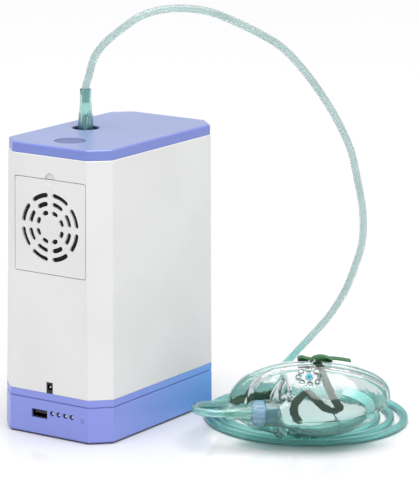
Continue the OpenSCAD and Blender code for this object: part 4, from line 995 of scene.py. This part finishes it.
def ribbon(name, line, width, thick, sides, finish):
    """Flat band along the line, wide along the given side directions."""
    points = []
    across = 6
    edge = thick / 2
    for i, p in enumerate(line):
        heading = (line[min(i + 1, len(line) - 1)] - line[max(i - 1, 0)]).normalized()
        u = (sides[i] - heading * sides[i].dot(heading)).normalized()
        v = heading.cross(u)
        for k in range(across + 1):
            thinned = edge * (1 - 0.5 * (k in (0, across)))
            points.append(p + u * (width / 2) * (2 * k / across - 1) + v * thinned)
        for k in range(across, -1, -1):
            thinned = edge * (1 - 0.5 * (k in (0, across)))
            points.append(p + u * (width / 2) * (2 * k / across - 1) - v * thinned)
    around = 2 * across + 2
    faces = ring_faces(len(line), around)
    faces += [tuple(range(around))[::-1], tuple(range(around * (len(line) - 1), around * len(line)))]
    return mesh_piece(name, points, faces, finish, 50)


clip_angles = [math.radians(a) for a in range(-16, 61, 4)]
clip_u = 0.39
clip_w, clip_t, clip_lift, clip_step = 0.008, 0.0008, 0.0007, 0.03
clip_line = [mask_place @ (mask_point(a, clip_u, 0) + mask_normal(a, clip_u) * clip_lift) for a in clip_angles]
clip_sides = [(mask_place @ mask_point(a, clip_u + clip_step, 0)
               - mask_place @ mask_point(a, clip_u - clip_step, 0)).normalized() for a in clip_angles]
clip = ribbon("nose_clip_strip", clip_line, clip_w, clip_t, clip_sides, clip_finish)
dress(clip, "mask", "steel", "nose_clip")

# ---- Head strap ----
# A dark green woven elastic band, 6 mm wide, threaded through both cheek
# eyelets and knotted there; its slack lies inside the open mask.

strap_finish, strap_shader, strap_where = material("woven_elastic", Sheen_Weight=0.25)
weave = strap_where.node("ShaderNodeTexWave", {"wave_type": "BANDS", "bands_direction": "DIAGONAL"},
                         {"Vector": strap_where, "Scale": 450, "Distortion": 1.5, "Detail": 1})
feed(strap_shader, Base_Color=weave.between(paint(4, 66, 26), paint(12, 92, 42)),
     Roughness=0.75 + weave * 0.15, Normal=strap_where.bump(weave, 0.00015))
strap_w, strap_t = 0.006, 0.001
face_axis = mask_place.to_3x3() @ Vector((0, 0, 1))


def strap_piece(name, route, width=strap_w, flat=False):
    """Band through places in millimetres in the mask's frame, on edge or flat to its face."""
    line = [mask_place @ (p * 0.001) for p in smooth_line(route, 6)]
    sides = [face_axis.cross(heading) if flat else face_axis for heading, _, _ in carried_frames(line, face_axis)]
    return dress(ribbon(name, line, width, strap_t, sides, strap_finish), "mask", "strap_green")


slack = strap_piece("strap_slack", [
    (4.5, 29.5, -8.5), (6.5, 27.1, -8.5), (9.3, 21.4, -7), (12.2, 14.7, -6), (19, -0.5, -5), (24.6, -10.4, -5.5),
    (23.4, -14.2, -7), (20, -14.6, -7.6), (13.9, -12.1, -8), (4.6, -2.9, -8.5), (-1.2, 1.1, -9.5), (-6.4, -5.3, -10.5),
    (-9.9, -12.4, -11.5), (-8, -22, -12), (-4, -28.6, -11.4)], flat=True)
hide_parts("mask_strap")
strap_piece("strap_loop_right", [
    (0.8, 29.5, -9.5), (1.6, 32.5, -8.5), (4.7, 34.9, -7.5), (9.1, 35.6, -7), (13.8, 33.9, -7.5), (16.9, 31.4, -8.2),
    (14.4, 30.2, -9), (9.3, 30.6, -9.6), (5, 31, -9.8)], 0.0045)
strap_piece("strap_loop_left", [
    (3, 30.6, -10.4), (-2.4, 32.2, -10), (-5.9, 33.4, -10), (-8.6, 32.6, -10), (-8.6, 30.9, -10.4), (-5, 30.4, -10.8),
    (-1, 30.2, -11)], 0.0045)
strap_piece("strap_end", [
    (4, 30.4, -11), (9, 31.6, -11), (15.6, 31.4, -11), (23.6, 30.2, -11.5), (32, 28.2, -12)], 0.0048)
strap_piece("strap_chin_side", [(-56.5, -8.6, -11.5), (-52.6, -5, -12), (-42.5, -2.5, -12.5), (-34.6, -1.7, -12.5),
                                (-26.8, -1.2, -12.5)], flat=True)
strap_piece("strap_tip", [(22, -14.4, -7.4), (21.6, -19.5, -10), (23, -25, -12), (28, -32, -12)], 0.0032)

# ---- Working parts inside ----
# Fan, compressor, sieve beds, battery and boards: cast and drawn metal,
# moulded plastics, foam and rubber, each in the finish it is bought in.


def metal(name, colour, roughness, brushed=0.0):
    made, shader, place = material(name, Metallic=1)
    streak = place.noise(0.0012, 3)
    feed(shader, Base_Color=streak.between(paint(*colour), paint(*[value * 0.88 for value in colour])),
         Roughness=roughness + streak * 0.18, Normal=place.bump(streak, 0.00002 + brushed))
    return made


def foam(name):
    made, shader, place = material(name, Roughness=0.95)
    cells = place.node("ShaderNodeTexVoronoi", {}, {"Vector": place, "Scale": 900})
    feed(shader, Base_Color=cells.ease(0.1, 0.7).between(paint(9, 10, 11), paint(30, 31, 34)),
         Normal=place.bump(cells, 0.0006))
    return made


def board(name):
    made, shader, place = material(name, Roughness=0.35, Coat_Weight=0.3)
    tracks = place.node("ShaderNodeTexBrick", {}, {"Vector": place, "Scale": 220}, "Fac")
    feed(shader, Base_Color=tracks.between(paint(30, 104, 66), paint(22, 78, 52)), Normal=place.bump(tracks, 0.00005))
    return made


def beads(name):
    made, shader, place = material(name, Roughness=0.8)
    cells = place.node("ShaderNodeTexVoronoi", {}, {"Vector": place, "Scale": 550})
    feed(shader, Base_Color=cells.ease(0, 0.8).between(paint(226, 214, 184), paint(176, 160, 126)),
         Normal=place.bump(cells, 0.0008))
    return made


black_finish = moulded("black_nylon", paint(15, 16, 18), paint(20, 21, 24), 0.45)
steel_finish = metal("plated_steel", (186, 189, 194), 0.22)
alloy_finish = metal("cast_alloy", (176, 178, 182), 0.42, 0.00006)
rubber_finish = moulded("black_rubber", paint(26, 26, 27), paint(34, 34, 35), 0.7, 0.0008, 0.00006)
milky_finish = moulded("milky_plastic", paint(222, 228, 230), paint(208, 216, 220), 0.3, Transmission_Weight=0.3)
node_finishes = {
    black_finish: ["fan_frame", "fan_rotor", "dc_socket", "usb_tongue", "switch_plunger", "sieve_caps",
                   "battery_cradle", "solenoid_valves"],
    metal("dark_nickel", (74, 77, 84), 0.3): ["usb_socket"],
    steel_finish: ["button_spring", "outlet_barb", "fan_screws", "case_screws", "compressor_bed",
                   "motor_can", "crankshaft", "fan_bracket", "chassis_plate"],
    alloy_finish: ["crankcase", "rod_left", "rod_right", "cylinder_sleeves", "cylinder_heads", "sieve_tubes",
                   "valve_manifold"],
    rubber_finish: ["rubber_feet", "rubber_mounts"],
    milky_finish: ["oxygen_tank", "bacteria_filter", "inner_tubing"],
    metal("wound_copper", (196, 120, 66), 0.4, 0.0001): ["motor_rotor"],
    foam("filter_foam"): ["dust_filter"],
    board("circuit_board"): ["button_board", "front_board", "control_board"],
    beads("zeolite_beads"): ["zeolite_beds"],
    moulded("battery_wrap", paint(58, 126, 176), paint(50, 116, 166), 0.25): ["battery_cells"],
}
for finish, names in node_finishes.items():
    for name in names:
        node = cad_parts[name]
        node.data.materials.clear()
        node.data.materials.append(finish)
